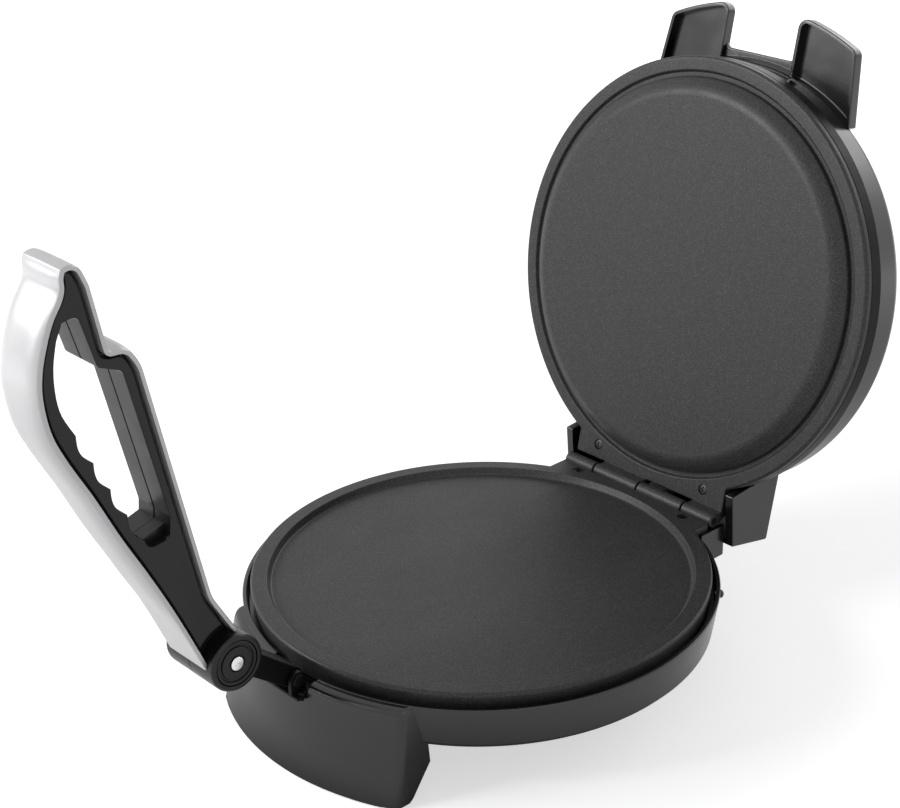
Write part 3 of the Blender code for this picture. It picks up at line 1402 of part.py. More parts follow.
def main():
    clear_scene()
    looks = {
        "gloss_black": finish("gloss_black", (0.012, 0.012, 0.013), 0.18),
        "matte_black": finish("matte_black", (0.02, 0.02, 0.021), 0.38),
        "nonstick": finish("nonstick", (0.045, 0.045, 0.048), 0.6),
        "silver": finish("silver", (0.62, 0.62, 0.63), 0.34, 0.8),
        "steel": finish("steel", (0.55, 0.55, 0.56), 0.32, 1.0),
        "black_steel": finish("black_steel", (0.03, 0.03, 0.032), 0.4, 0.6),
        "chrome": finish("chrome", (0.8, 0.8, 0.82), 0.1, 1.0),
        "aluminium": finish("aluminium", (0.7, 0.7, 0.72), 0.4, 1.0),
        "ceramic": finish("ceramic", (0.75, 0.73, 0.68), 0.6),
        "rubber": finish("rubber", (0.03, 0.03, 0.03), 0.85),
        "lens": finish("lens", (0.35, 0.02, 0.02), 0.15),
    }
    root = empty("assembly", None)
    make_base(root, looks)
    make_lid(root, looks)
    make_handle(root, looks)
    stand_on_floor(root)


main()
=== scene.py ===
"""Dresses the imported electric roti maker: fine casings, plates, handle and fasteners, with their finishes.

Lengths are metres. Each sub-assembly is modelled in its own working frame, where z = 0 is the lower plate's
rim, X runs along the hinge and -Y points to the handle, with the lid shut and the handle lying along +Y.
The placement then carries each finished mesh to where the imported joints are.
"""

import json
import logging
import math
from collections.abc import Callable
from dataclasses import dataclass
from enum import Enum

import bmesh
import bpy
from mathutils import Matrix, Vector

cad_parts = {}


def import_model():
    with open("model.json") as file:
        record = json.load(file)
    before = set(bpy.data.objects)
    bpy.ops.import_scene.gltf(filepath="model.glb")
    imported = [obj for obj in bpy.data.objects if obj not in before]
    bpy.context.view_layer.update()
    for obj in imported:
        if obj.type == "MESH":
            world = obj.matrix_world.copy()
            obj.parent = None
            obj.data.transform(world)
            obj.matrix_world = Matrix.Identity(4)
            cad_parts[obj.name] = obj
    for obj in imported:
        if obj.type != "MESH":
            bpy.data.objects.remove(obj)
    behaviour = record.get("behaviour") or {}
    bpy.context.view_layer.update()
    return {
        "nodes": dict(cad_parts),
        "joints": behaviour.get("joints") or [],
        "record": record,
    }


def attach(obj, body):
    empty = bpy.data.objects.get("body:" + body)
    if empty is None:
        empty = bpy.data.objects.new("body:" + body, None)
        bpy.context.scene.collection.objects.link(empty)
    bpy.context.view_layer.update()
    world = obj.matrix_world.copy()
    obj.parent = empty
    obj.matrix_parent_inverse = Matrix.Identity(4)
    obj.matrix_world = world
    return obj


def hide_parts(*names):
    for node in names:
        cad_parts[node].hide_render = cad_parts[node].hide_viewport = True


LOG = logging.getLogger("roti_maker")
# Name of the face mark for painted shade: marked faces are drawn near black and metallic, standing in for the shade on
# the upper plate's outer wall.
PAINTED_SHADE_MARK = "painted_shade_wall"

Point = tuple[float, float]
Corner = tuple[float, float, float]
Piece = bpy.types.Object


class Body(Enum):
    """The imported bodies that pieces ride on."""

    BASE = "base"
    LID = "lid"
    LINK = "link"
    HANDLE = "handle"


class Cutting(Enum):
    """What a tool does to the piece that it meets."""

    JOIN = "UNION"
    CUT = "DIFFERENCE"


class Side(Enum):
    """The two sides of the roti maker, seen from the handle."""

    LEFT = -1
    RIGHT = 1

    @property
    def word(self) -> str:
        """The side's name as the nodes spell it."""
        return self.name.lower()


def arc(centre: Point, radius: float, start: float, end: float, steps: int) -> list[Point]:
    """Points on a circle.

    Args:
        centre: The circle's centre.
        radius: Its radius.
        start: The first angle in radians.
        end: The last angle in radians.
        steps: How many pieces the arc has.

    Returns:
        steps + 1 points.
    """
    turns = [start + (end - start) * index / steps for index in range(steps + 1)]
    return [(centre[0] + radius * math.cos(a), centre[1] + radius * math.sin(a)) for a in turns]


def circle(centre: Point, radius: float, steps: int = 48) -> list[Point]:
    """A full circle as a closed outline.

    Args:
        centre: The circle's centre.
        radius: Its radius.
        steps: How many corners it has.

    Returns:
        The corners, the first not repeated.
    """
    return arc(centre, radius, 0, math.tau, steps)[:-1]


def rounded(corners: list[Corner], steps: int = 6, closed: bool = True) -> list[Point]:
    """An outline with each corner turned into an arc.

    Args:
        corners: Corners as (a, b, radius), where a radius of zero stays sharp.
        steps: How many pieces each arc has.
        closed: Whether the last corner meets the first.

    Returns:
        The outline's points.
    """
    outline: list[Point] = []
    for index, (a, b, radius) in enumerate(corners):
        here = Vector((a, b))
        at_end = not closed and index in (0, len(corners) - 1)
        if not radius or at_end:
            outline.append((a, b))
            continue
        before = (Vector(corners[index - 1][:2]) - here).normalized()
        after = (Vector(corners[(index + 1) % len(corners)][:2]) - here).normalized()
        half = before.angle(after) / 2
        centre = here + (before + after).normalized() * (radius / math.sin(half))
        first = here + before * (radius / math.tan(half)) - centre
        last = here + after * (radius / math.tan(half)) - centre
        start = math.atan2(first.y, first.x)
        sweep = (math.atan2(last.y, last.x) - start + math.pi) % math.tau - math.pi
        outline += arc(tuple(centre), radius, start, start + sweep, steps)
    return outline


def smooth(points: list[tuple[float, ...]], steps: int) -> list[tuple[float, ...]]:
    """A curve through all the points.

    Args:
        points: Points of any one dimension.
        steps: How many pieces lie between each two.

    Returns:
        The curve's points.
    """
    padded = [points[0], *points, points[-1]]
    curve = []
    for a, b, c, d in zip(padded, padded[1:], padded[2:], padded[3:]):
        for index in range(steps):
            t = index / steps
            place = []
            for p, q, r, s in zip(a, b, c, d):
                bend = (2 * p - 5 * q + 4 * r - s) * t**2 + (3 * q - p - 3 * r + s) * t**3
                place.append(q + ((r - p) * t + bend) / 2)
            curve.append(tuple(place))
    return [*curve, tuple(points[-1])]


def offset(chain: list[Point], distances: list[float]) -> list[Point]:
    """Moves each point of an open chain along its normal.

    Args:
        chain: The chain's points.
        distances: How far each point moves to the left of the direction of travel.

    Returns:
        The moved points.
    """
    places = [Vector(point) for point in chain]
    result = []
    for index, (point, away) in enumerate(zip(places, distances)):
        ahead = places[min(index + 1, len(places) - 1)] - point
        behind = point - places[max(index - 1, 0)]
        along = ahead.normalized() + behind.normalized()
        side = Vector((-along.y, along.x)).normalized()
        result.append(tuple(point + side * away))
    return result


def distance(point: Point, chain: list[Point]) -> float:
    """How far a point lies from a chain.

    Args:
        point: The point.
        chain: The chain's points.

    Returns:
        The shortest distance.
    """
    place = Vector(point)
    least = math.inf
    for first, last in zip(chain, chain[1:]):
        start = Vector(first)
        run = Vector(last) - start
        share = max(0.0, min(1.0, (place - start).dot(run) / max(run.length_squared, 1e-18)))
        least = min(least, (place - start - run * share).length)
    return least


def shifted(chain: list[Point], away: float) -> list[Point]:
    """A chain moved sideways, without the folds that a tight corner would leave.

    Args:
        chain: The chain's points.
        away: How far it moves to the left of the direction of travel.

    Returns:
        The moved points.
    """
    moved = offset(chain, [away] * len(chain))
    return [point for point in moved if distance(point, chain) > abs(away) * 0.985]


class Workbench:
    """Modelling moves that every sub-assembly uses."""

    FINE = 192
    SMALL = 48
    WELD = 1e-6
    SHARP = math.radians(32)
    ACROSS = Matrix(((0, 0, 1, 0), (1, 0, 0, 0), (0, 1, 0, 0), (0, 0, 0, 1)))

    @staticmethod
    def clear() -> None:
        """Leaves edit mode and selects nothing."""
        if bpy.context.object and bpy.context.object.mode != "OBJECT":
            bpy.ops.object.mode_set(mode="OBJECT")
        bpy.ops.object.select_all(action="DESELECT")

    @classmethod
    def pick(cls, piece: Piece) -> None:
        """Makes one piece the only selected and the active one.

        Args:
            piece: The piece.
        """
        cls.clear()
        piece.select_set(True)
        bpy.context.view_layer.objects.active = piece

    @classmethod
    def settle(cls, piece: Piece, matrix: Matrix | None = None) -> Piece:
        """Moves a piece by a matrix and puts its place into its mesh.

        Args:
            piece: The piece.
            matrix: The move, or None to keep its place.

        Returns:
            The piece.
        """
        if matrix is not None:
            piece.matrix_world = matrix @ piece.matrix_world
        cls.pick(piece)
        bpy.ops.object.transform_apply(location=True, rotation=True, scale=True)
        return piece

    @classmethod
    def turned(cls, name: str, profile: list[Point], steps: int = FINE, closed: bool = False) -> Piece:
        """A turned piece about Z, drawn ring by ring from its profile.

        Args:
            name: The piece's name.
            profile: (radius, height) points, all off the axis.
            steps: Facets round the axis.
            closed: Whether the last ring meets the first, as on a hoop. Otherwise both ends are filled.

        Returns:
            The piece.
        """
        cls.clear()
        bpy.ops.mesh.primitive_circle_add(vertices=steps, radius=profile[0][0])
        piece = bpy.context.object
        piece.name = name
        bpy.ops.object.mode_set(mode="EDIT")
        bpy.ops.mesh.select_mode(type="EDGE")
        bpy.ops.mesh.select_all(action="SELECT")
        bpy.ops.transform.translate(value=(0, 0, profile[0][1]))
        for (near, low), (far, high) in zip(profile, profile[1:]):
            bpy.ops.mesh.extrude_edges_move(TRANSFORM_OT_translate={"value": (0, 0, high - low)})
            share = far / near
            bpy.ops.transform.resize(value=(share, share, 1), center_override=(0, 0, 0))
        bpy.ops.mesh.select_all(action="DESELECT")
        bpy.ops.mesh.select_non_manifold()
        if closed:
            bpy.ops.mesh.bridge_edge_loops()
        else:
            bpy.ops.mesh.fill_holes(sides=0)
        bpy.ops.mesh.select_all(action="SELECT")
        bpy.ops.mesh.normals_make_consistent(inside=False)
        bpy.ops.object.mode_set(mode="OBJECT")
        return cls.outward(piece)

    @classmethod
    def outward(cls, piece: Piece) -> Piece:
        """Turns a closed piece's faces outwards, if they all point in.

        Args:
            piece: The piece.

        Returns:
            The piece.
        """
        shape = bmesh.new()
        shape.from_mesh(piece.data)
        inside_out = shape.calc_volume(signed=True) < 0
        shape.free()
        if inside_out:
            cls.pick(piece)
            bpy.ops.object.mode_set(mode="EDIT")
            bpy.ops.mesh.select_all(action="SELECT")
            bpy.ops.mesh.flip_normals()
            bpy.ops.object.mode_set(mode="OBJECT")
        return piece

    @classmethod
    def flat(cls, name: str, outlines: list[list[Point]], low: float, high: float, edge: float = 0.0) -> Piece:
        """A flat piece cut from outlines in plan, with its two faces' edges rounded.

        Args:
            name: The piece's name.
            outlines: The outer outline, then any holes.
            low: The lower face's height.
            high: The upper face's height.
            edge: The radius that rounds the faces' edges.

        Returns:
            The piece.
        """
        cls.clear()
        bpy.ops.curve.primitive_bezier_circle_add()
        piece = bpy.context.object
        piece.name = name
        curve = piece.data
        curve.dimensions = "2D"
        curve.fill_mode = "BOTH"
        curve.splines.clear()
        for outline in outlines:
            spline = curve.splines.new("POLY")
            spline.points.add(len(outline) - 1)
            for point, (x, y) in zip(spline.points, outline):
                point.co = (x, y, 0, 1)
            spline.use_cyclic_u = True
        curve.extrude = (high - low) / 2 - edge
        curve.bevel_depth = edge
        curve.bevel_resolution = 2
        curve.offset = -edge
        piece.location.z = (low + high) / 2
        bpy.ops.object.convert(target="MESH")
        cls.settle(piece)
        bpy.ops.object.mode_set(mode="EDIT")
        bpy.ops.mesh.select_all(action="SELECT")
        bpy.ops.mesh.remove_doubles(threshold=cls.WELD)
        bpy.ops.mesh.normals_make_consistent(inside=False)
        bpy.ops.object.mode_set(mode="OBJECT")
        return cls.outward(piece)

    @classmethod
    def cheek(cls, name: str, outlines: list[list[Point]], low: float, high: float, edge: float = 0.0) -> Piece:
        """A flat piece whose outlines lie in (y, z), standing between two places along X.

        Args:
            name: The piece's name.
            outlines: The outer outline, then any holes.
            low: The lower X.
            high: The higher X.
            edge: The radius that rounds the faces' edges.

        Returns:
            The piece.
        """
        return cls.settle(cls.flat(name, outlines, low, high, edge), cls.ACROSS)

    @classmethod
    def block(cls, name: str, low: tuple[float, ...], high: tuple[float, ...], edge: float = 0.0) -> Piece:
        """A block between two corners, with bevelled edges.

        Args:
            name: The piece's name.
            low: The lowest corner.
            high: The highest corner.
            edge: The bevel's width.

        Returns:
            The piece.
        """
        cls.clear()
        middle = [(a + b) / 2 for a, b in zip(low, high)]
        bpy.ops.mesh.primitive_cube_add(size=1, location=middle)
        piece = bpy.context.object
        piece.name = name
        piece.scale = [b - a for a, b in zip(low, high)]
        cls.settle(piece)
        if edge:
            bpy.ops.object.mode_set(mode="EDIT")
            bpy.ops.mesh.select_all(action="SELECT")
            bpy.ops.mesh.bevel(offset=edge, segments=3, affect="EDGES")
            bpy.ops.object.mode_set(mode="OBJECT")
        return piece

    @classmethod
    def loft(cls, name: str, rings: list[list[tuple[float, ...]]]) -> Piece:
        """A skin over closed rings of equally many points, with both ends filled.

        Args:
            name: The piece's name.
            rings: The rings, in order.

        Returns:
            The piece.
        """
        shape = bmesh.new()
        loops = [[shape.verts.new(point) for point in ring] for ring in rings]
        for low, high in zip(loops, loops[1:]):
            for index, _ in enumerate(low):
                shape.faces.new((low[index - 1], low[index], high[index], high[index - 1]))
        shape.faces.new(loops[0])
        shape.faces.new(loops[-1])
        bmesh.ops.recalc_face_normals(shape, faces=shape.faces)
        mesh = bpy.data.meshes.new(name)
        shape.to_mesh(mesh)
        shape.free()
        piece = bpy.data.objects.new(name, mesh)
        bpy.context.scene.collection.objects.link(piece)
        return cls.outward(piece)

    @classmethod
    def work(cls, piece: Piece, cutting: Cutting, *tools: Piece) -> Piece:
        """Joins tools to a piece or cuts them from it, and uses them up.

        Args:
            piece: The piece that is worked.
            cutting: Whether the tools are joined or cut.
            tools: The tools.

        Returns:
            The piece.
        """
        for tool in tools:
            modifier = piece.modifiers.new("work", "BOOLEAN")
            modifier.operation = cutting.value
            modifier.solver = "MANIFOLD"
            modifier.object = tool
            cls.pick(piece)
            bpy.ops.object.modifier_apply(modifier=modifier.name)
            bpy.data.objects.remove(tool, do_unlink=True)
        return piece

    @classmethod
    def soften(cls, piece: Piece, width: float, angle: float = SHARP, segments: int = 2) -> Piece:
        """Rounds a piece's sharp edges with an applied bevel.

        Args:
            piece: The piece.
            width: The bevel's width.
            angle: The angle above which an edge is sharp.
            segments: The bevel's segments.

        Returns:
            The piece.
        """
        modifier = piece.modifiers.new("soften", "BEVEL")
        modifier.width = width
        modifier.segments = segments
        modifier.limit_method = "ANGLE"
        modifier.angle_limit = angle
        cls.pick(piece)
        bpy.ops.object.modifier_apply(modifier=modifier.name)
        return piece

    @classmethod
    def copy(cls, piece: Piece, name: str, matrix: Matrix) -> Piece:
        """A copy of a piece with its own mesh, moved by a matrix.

        Args:
            piece: The pattern.
            name: The copy's name.
            matrix: The copy's move.

        Returns:
            The copy.
        """
        twin = piece.copy()
        twin.data = piece.data.copy()
        twin.name = name
        bpy.context.scene.collection.objects.link(twin)
        return cls.settle(twin, matrix)

    @classmethod
    def mark(cls, piece: Piece, word: str, chosen: Callable[[bpy.types.MeshPolygon], bool]) -> Piece:
        """Marks some faces, so that the finish can tell them from the rest.

        Args:
            piece: The piece.
            word: The mark's name.
            chosen: Says whether a face is marked.

        Returns:
            The piece.
        """
        mark = piece.data.attributes.new(word, "FLOAT", "FACE")
        for face, entry in zip(piece.data.polygons, mark.data):
            entry.value = 1.0 if chosen(face) else 0.0
        return piece

    @classmethod
    def shade(cls, piece: Piece) -> None:
        """Shades a piece smooth up to the sharp angle, with flat faces kept flat.

        Args:
            piece: The piece.
        """
        cls.pick(piece)
        bpy.ops.object.shade_smooth_by_angle(angle=cls.SHARP)
        modifier = piece.modifiers.new("even", "WEIGHTED_NORMAL")
        modifier.keep_sharp = True
        bpy.ops.object.modifier_apply(modifier=modifier.name)


class Desk:
    """Lays out the nodes of one node tree."""

    def __init__(self, tree: bpy.types.NodeTree) -> None:
        """Takes the tree.

        Args:
            tree: The node tree that is filled.
        """
        self.tree = tree

    def put(self, kind: str, values: dict | None = None, **settings: object) -> bpy.types.Node:
        """Adds a node.

        Args:
            kind: The node's type.
            values: Values or output sockets for its inputs, by name or number.
            settings: The node's own properties.

        Returns:
            The node.
        """
        node = self.tree.nodes.new(kind)
        for key, value in settings.items():
            setattr(node, key, value)
        for key, value in (values or {}).items():
            if isinstance(value, bpy.types.NodeSocket):
                self.tree.links.new(value, node.inputs[key])
            else:
                node.inputs[key].default_value = value
        return node

    def math(self, operation: str, first: object, second: object) -> bpy.types.NodeSocket:
        """Adds one sum.

        Args:
            operation: Blender's name of the sum.
            first: A value or socket.
            second: A value or socket.

        Returns:
            The result's socket.
        """
        return self.put("ShaderNodeMath", {0: first, 1: second}, operation=operation).outputs[0]

    def spread(self, value: bpy.types.NodeSocket, low: object, high: object) -> bpy.types.NodeSocket:
        """Maps a share of 0 to 1 onto a range.

        Args:
            value: The share.
            low: What 0 becomes.
            high: What 1 becomes.

        Returns:
            The mapped socket.
        """
        return self.put("ShaderNodeMapRange", {"Value": value, "To Min": low, "To Max": high}).outputs[0]


class Effects:
    """Surface effects that more than one finish uses, each a node group that is built once."""

    def __init__(self) -> None:
        """Builds the groups."""
        self.grain = self._grain()
        self.wipes = self._wipes()
        self.flecks = self._flecks()

    @staticmethod
    def _group(name: str, inputs: dict[str, float], outputs: tuple[str, ...]) -> tuple:
        """Starts a group that reads a Vector and some numbers.

        Args:
            name: The group's name.
            inputs: The numbers' names and values.
            outputs: The names of what it puts out, all floats.

        Returns:
            The tree, its input node and its output node.
        """
        tree = bpy.data.node_groups.new(name, "ShaderNodeTree")
        tree.interface.new_socket("Vector", in_out="INPUT", socket_type="NodeSocketVector")
        for word, value in inputs.items():
            socket = tree.interface.new_socket(word, in_out="INPUT", socket_type="NodeSocketFloat")
            socket.default_value = value
        for word in outputs:
            tree.interface.new_socket(word, in_out="OUTPUT", socket_type="NodeSocketFloat")
        return tree, tree.nodes.new("NodeGroupInput"), tree.nodes.new("NodeGroupOutput")

    def _grain(self) -> bpy.types.NodeTree:
        """The fine pebbled skin of a spark-eroded mould or of a sprayed coat."""
        tree, entry, leave = self._group("moulded_grain", {"Scale": 3000.0}, ("Height", "Mask"))
        desk = Desk(tree)
        fine = desk.put(
            "ShaderNodeTexNoise",
            {"Vector": entry.outputs["Vector"], "Scale": entry.outputs["Scale"], "Detail": 3.0},
        )
        broad_scale = desk.math("MULTIPLY", entry.outputs["Scale"], 0.31)
        broad = desk.put("ShaderNodeTexNoise", {"Vector": entry.outputs["Vector"], "Scale": broad_scale})
        near = desk.math("MULTIPLY", fine.outputs["Fac"], 0.7)
        height = desk.math("ADD", near, desk.math("MULTIPLY", broad.outputs["Fac"], 0.3))
        tree.links.new(height, leave.inputs["Height"])
        tree.links.new(fine.outputs["Fac"], leave.inputs["Mask"])
        return tree

    def _wipes(self) -> bpy.types.NodeTree:
        """Broad, faint patches where a gloss has been wiped or handled."""
        tree, entry, leave = self._group("wipe_marks", {"Scale": 22.0, "Stretch": 2.4}, ("Mask",))
        desk = Desk(tree)
        stretch = desk.put(
            "ShaderNodeCombineXYZ", {"X": entry.outputs["Stretch"], "Y": 1.0, "Z": entry.outputs["Stretch"]}
        )
        vector = desk.put(
            "ShaderNodeVectorMath",
            {0: entry.outputs["Vector"], 1: stretch.outputs[0]},
            operation="MULTIPLY",
        )
        noise = desk.put(
            "ShaderNodeTexNoise",
            {"Vector": vector.outputs[0], "Scale": entry.outputs["Scale"], "Detail": 4.0, "Distortion": 0.6},
        )
        tree.links.new(desk.spread(noise.outputs["Fac"], -0.6, 1.6), leave.inputs["Mask"])
        return tree

    def _flecks(self) -> bpy.types.NodeTree:
        """Scattered bright specks of a coat's filler, each of its own strength."""
        tree, entry, leave = self._group("coat_flecks", {"Scale": 1400.0, "Share": 0.3}, ("Mask",))
        desk = Desk(tree)
        cells = desk.put(
            "ShaderNodeTexVoronoi", {"Vector": entry.outputs["Vector"], "Scale": entry.outputs["Scale"]}
        )
        near = desk.math("LESS_THAN", cells.outputs["Distance"], entry.outputs["Share"])
        strength = desk.put("ShaderNodeSeparateColor", {0: cells.outputs["Color"]}).outputs[0]
        tree.links.new(desk.math("MULTIPLY", near, strength), leave.inputs["Mask"])
        return tree


@dataclass(frozen=True)
class Finish:
    """One finish of the roti maker, as a Principled material with its own grain and wear, and painted shade on the
    faces marked for it.
    """

    slot: str
    colour: tuple[float, float, float]
    light: tuple[float, float, float]
    roughness: float
    wiped: float
    metallic: float = 0.0
    grain_scale: float = 2600.0
    grain_depth: float = 0.00001
    fleck_scale: float = 1500.0
    fleck_share: float = 0.0
    wipe_scale: float = 22.0
    specular: float = 0.5
    transmission: float = 0.0
    variant: str = ""
    # Colour painted onto marked faces as shade; those faces also turn metallic, so they reflect almost nothing.
    painted_shade_colour: tuple[float, float, float] | None = None

    @property
    def look(self) -> str:
        """The name that pieces ask for: the slot, with the variant if there is one."""
        return f"{self.slot}_{self.variant}" if self.variant else self.slot

    def build(self, effects: Effects) -> bpy.types.Material:
        """Makes the material.

        Args:
            effects: The shared groups.

        Returns:
            The material.
        """
        material = bpy.data.materials.new(f"{self.look}_finish")
        material.use_nodes = True
        desk = Desk(material.node_tree)
        surface = material.node_tree.nodes["Principled BSDF"]
        place = desk.put("ShaderNodeTexCoord").outputs["Object"]
        grain = desk.put("ShaderNodeGroup", node_tree=effects.grain)
        wipes = desk.put("ShaderNodeGroup", node_tree=effects.wipes)
        for node, scale in ((grain, self.grain_scale), (wipes, self.wipe_scale)):
            material.node_tree.links.new(place, node.inputs["Vector"])
            node.inputs["Scale"].default_value = scale
        mask = grain.outputs["Mask"]
        if self.fleck_share:
            flecks = desk.put("ShaderNodeGroup", node_tree=effects.flecks)
            material.node_tree.links.new(place, flecks.inputs["Vector"])
            flecks.inputs["Scale"].default_value = self.fleck_scale
            flecks.inputs["Share"].default_value = self.fleck_share
            mask = desk.math("MAXIMUM", flecks.outputs["Mask"], desk.math("MULTIPLY", mask, 0.4))
        colour = desk.put("ShaderNodeMix", {"Factor": mask}, data_type="RGBA")
        colour.inputs["A"].default_value = (*self.colour, 1)
        colour.inputs["B"].default_value = (*self.light, 1)
        links = material.node_tree.links
        shown = colour.outputs["Result"]
        # Painted shade: marked faces take the dark colour and turn metallic, which darkens them beyond the coat's own
        # colour.
        if self.painted_shade_colour:
            painted_shade_wall = desk.put("ShaderNodeAttribute", attribute_name=PAINTED_SHADE_MARK).outputs["Fac"]
            under = desk.put("ShaderNodeMix", {"Factor": painted_shade_wall}, data_type="RGBA")
            links.new(shown, under.inputs["A"])
            under.inputs["B"].default_value = (*self.painted_shade_colour, 1)
            shown = under.outputs["Result"]
            links.new(painted_shade_wall, surface.inputs["Metallic"])
        links.new(shown, surface.inputs["Base Color"])
        rough = desk.spread(wipes.outputs["Mask"], self.roughness, self.wiped)
        links.new(rough, surface.inputs["Roughness"])
        bump = desk.put("ShaderNodeBump", {"Height": grain.outputs["Height"], "Distance": self.grain_depth})
        links.new(bump.outputs["Normal"], surface.inputs["Normal"])
        surface.inputs["Metallic"].default_value = self.metallic
        surface.inputs["Specular IOR Level"].default_value = self.specular
        surface.inputs["Transmission Weight"].default_value = self.transmission
        return material


FINISHES = (
    Finish(
        "gloss_black",
        (0.0035, 0.0035, 0.0040),
        (0.0060, 0.0060, 0.0065),
        0.17,
        0.27,
        grain_scale=420,
        wipe_scale=14,
        specular=0.62,
    ),
    Finish("matte_black", (0.005, 0.005, 0.0052), (0.010, 0.010, 0.0102), 0.27, 0.38, grain_scale=3400, specular=0.34),
    # Darker, less reflective copy of matte black for the link arm: painted shade for the shadowed notch that it runs
    # into.
    Finish(
        "matte_black",
        (0.003, 0.003, 0.003),
        (0.005, 0.005, 0.005),
        0.26,
        0.34,
        grain_scale=3400,
        specular=0.12,
        variant="deep",
    ),
    Finish(
        "nonstick",
        (0.008, 0.008, 0.009),
        (0.098, 0.098, 0.101),
        0.38,
        0.47,
        grain_scale=1900,
        grain_depth=0.00009,
        fleck_scale=1700,
        fleck_share=0.42,
        specular=0.3,
        # Near-black painted shade for the upper plate's outer wall.
        painted_shade_colour=(0.006, 0.006, 0.006),
    ),
    Finish(
        "silver",
        (0.55, 0.55, 0.56),
        (0.64, 0.64, 0.65),
        0.30,
        0.40,
        0.35,
        grain_scale=5200,
        grain_depth=0.000006,
        fleck_scale=3800,
        fleck_share=0.4,
    ),
    Finish("steel", (0.50, 0.50, 0.51), (0.60, 0.60, 0.61), 0.26, 0.42, 1.0),
    # Steel darkened to black, with its reflection turned down: painted shade for the pins and screws in the shadowed
    # notch and hinge.
    Finish("steel", (0.004, 0.004, 0.004), (0.008, 0.008, 0.008), 0.34, 0.46, specular=0.1, variant="blacked"),
    # The bracket's black steel: partly its own black, partly painted shade, with colour and reflection turned down
    # further for the shadowed notch.
    Finish("black_steel", (0.004, 0.004, 0.004), (0.008, 0.008, 0.008), 0.34, 0.46, specular=0.1),
    Finish("black_steel", (0.05, 0.05, 0.05), (0.09, 0.09, 0.09), 0.24, 0.34, 1.0, variant="screw"),
    Finish("chrome", (0.78, 0.78, 0.80), (0.84, 0.84, 0.86), 0.08, 0.16, 1.0),
    Finish("aluminium", (0.62, 0.62, 0.64), (0.74, 0.74, 0.76), 0.32, 0.48, 1.0),
    Finish("ceramic", (0.66, 0.64, 0.59), (0.76, 0.74, 0.69), 0.45, 0.62, grain_depth=0.00003),
    Finish("rubber", (0.012, 0.012, 0.012), (0.022, 0.022, 0.022), 0.70, 0.88, grain_depth=0.00004, specular=0.3),
    Finish("lens", (0.030, 0.006, 0.006), (0.040, 0.009, 0.009), 0.08, 0.14, transmission=0.2),
)


class Dresser:
    """Gives pieces their finish and their body, and hides the imported nodes that they stand for."""

    def __init__(self, effects: Effects) -> None:
        """Builds every finish.

        Args:
            effects: The shared groups.
        """
        self.materials = {finish.look: finish.build(effects) for finish in FINISHES}
        self.slots = {finish.look: finish.slot for finish in FINISHES}

    def dress(self, piece: Piece, look: str, body: Body, *nodes: str) -> Piece:
        """Finishes a piece and rides it on its body.

        Args:
            piece: The piece, in place.
            look: The finish's name.
            body: The body that it moves with.
            nodes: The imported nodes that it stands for.

        Returns:
            The piece.
        """
        Workbench.shade(piece)
        piece.data.materials.clear()
        piece.data.materials.append(self.materials[look])
        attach(piece, body.value)
        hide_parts(*nodes)
        LOG.info("%s on %s, %d faces", piece.name, body.value, len(piece.data.polygons))
        return piece

    def dress_nodes(self, nodes: dict[str, Piece], record: dict) -> None:
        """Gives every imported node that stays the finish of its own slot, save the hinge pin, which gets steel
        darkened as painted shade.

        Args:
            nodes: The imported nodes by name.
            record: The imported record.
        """
        for entry in record["subparts"]:
            node = nodes[entry["node"]]
            # The hinge pin takes the darkened steel as painted shade.
            look = "steel_blacked" if entry["node"] == "hinge_pin" else entry["material_slot"]
            node.data.materials.clear()
            node.data.materials.append(self.materials[look])


@dataclass
class Placement:
    """Where each body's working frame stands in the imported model."""

    hinge_y: float = 0.1373
    hinge_z: float = -0.0005
    open_angle: float = math.radians(102.6)
    link_rest: float = math.radians(141.8)
    handle_rest: float = math.radians(106.54)

    def frames(self, joints: list[dict]) -> dict[Body, Matrix]:
        """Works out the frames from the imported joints.

        Args:
            joints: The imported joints.

        Returns:
            A matrix for each body.
        """
        places = {joint["name"]: Vector(joint["pos_m"]) for joint in joints}
        hinge = Vector((0, self.hinge_y, self.hinge_z))
        base = Matrix.Translation(places["lid_hinge"] - hinge)
        thrown_back = Matrix.Rotation(-self.open_angle, 4, "X")
        lid = Matrix.Translation(places["lid_hinge"]) @ thrown_back @ Matrix.Translation(-hinge)
        link = Matrix.Translation(places["link_hinge"]) @ Matrix.Rotation(self.link_rest, 4, "X")
        handle = Matrix.Translation(places["handle_hinge"]) @ Matrix.Rotation(self.handle_rest, 4, "X")
        return {Body.BASE: base, Body.LID: lid, Body.LINK: link, Body.HANDLE: handle}


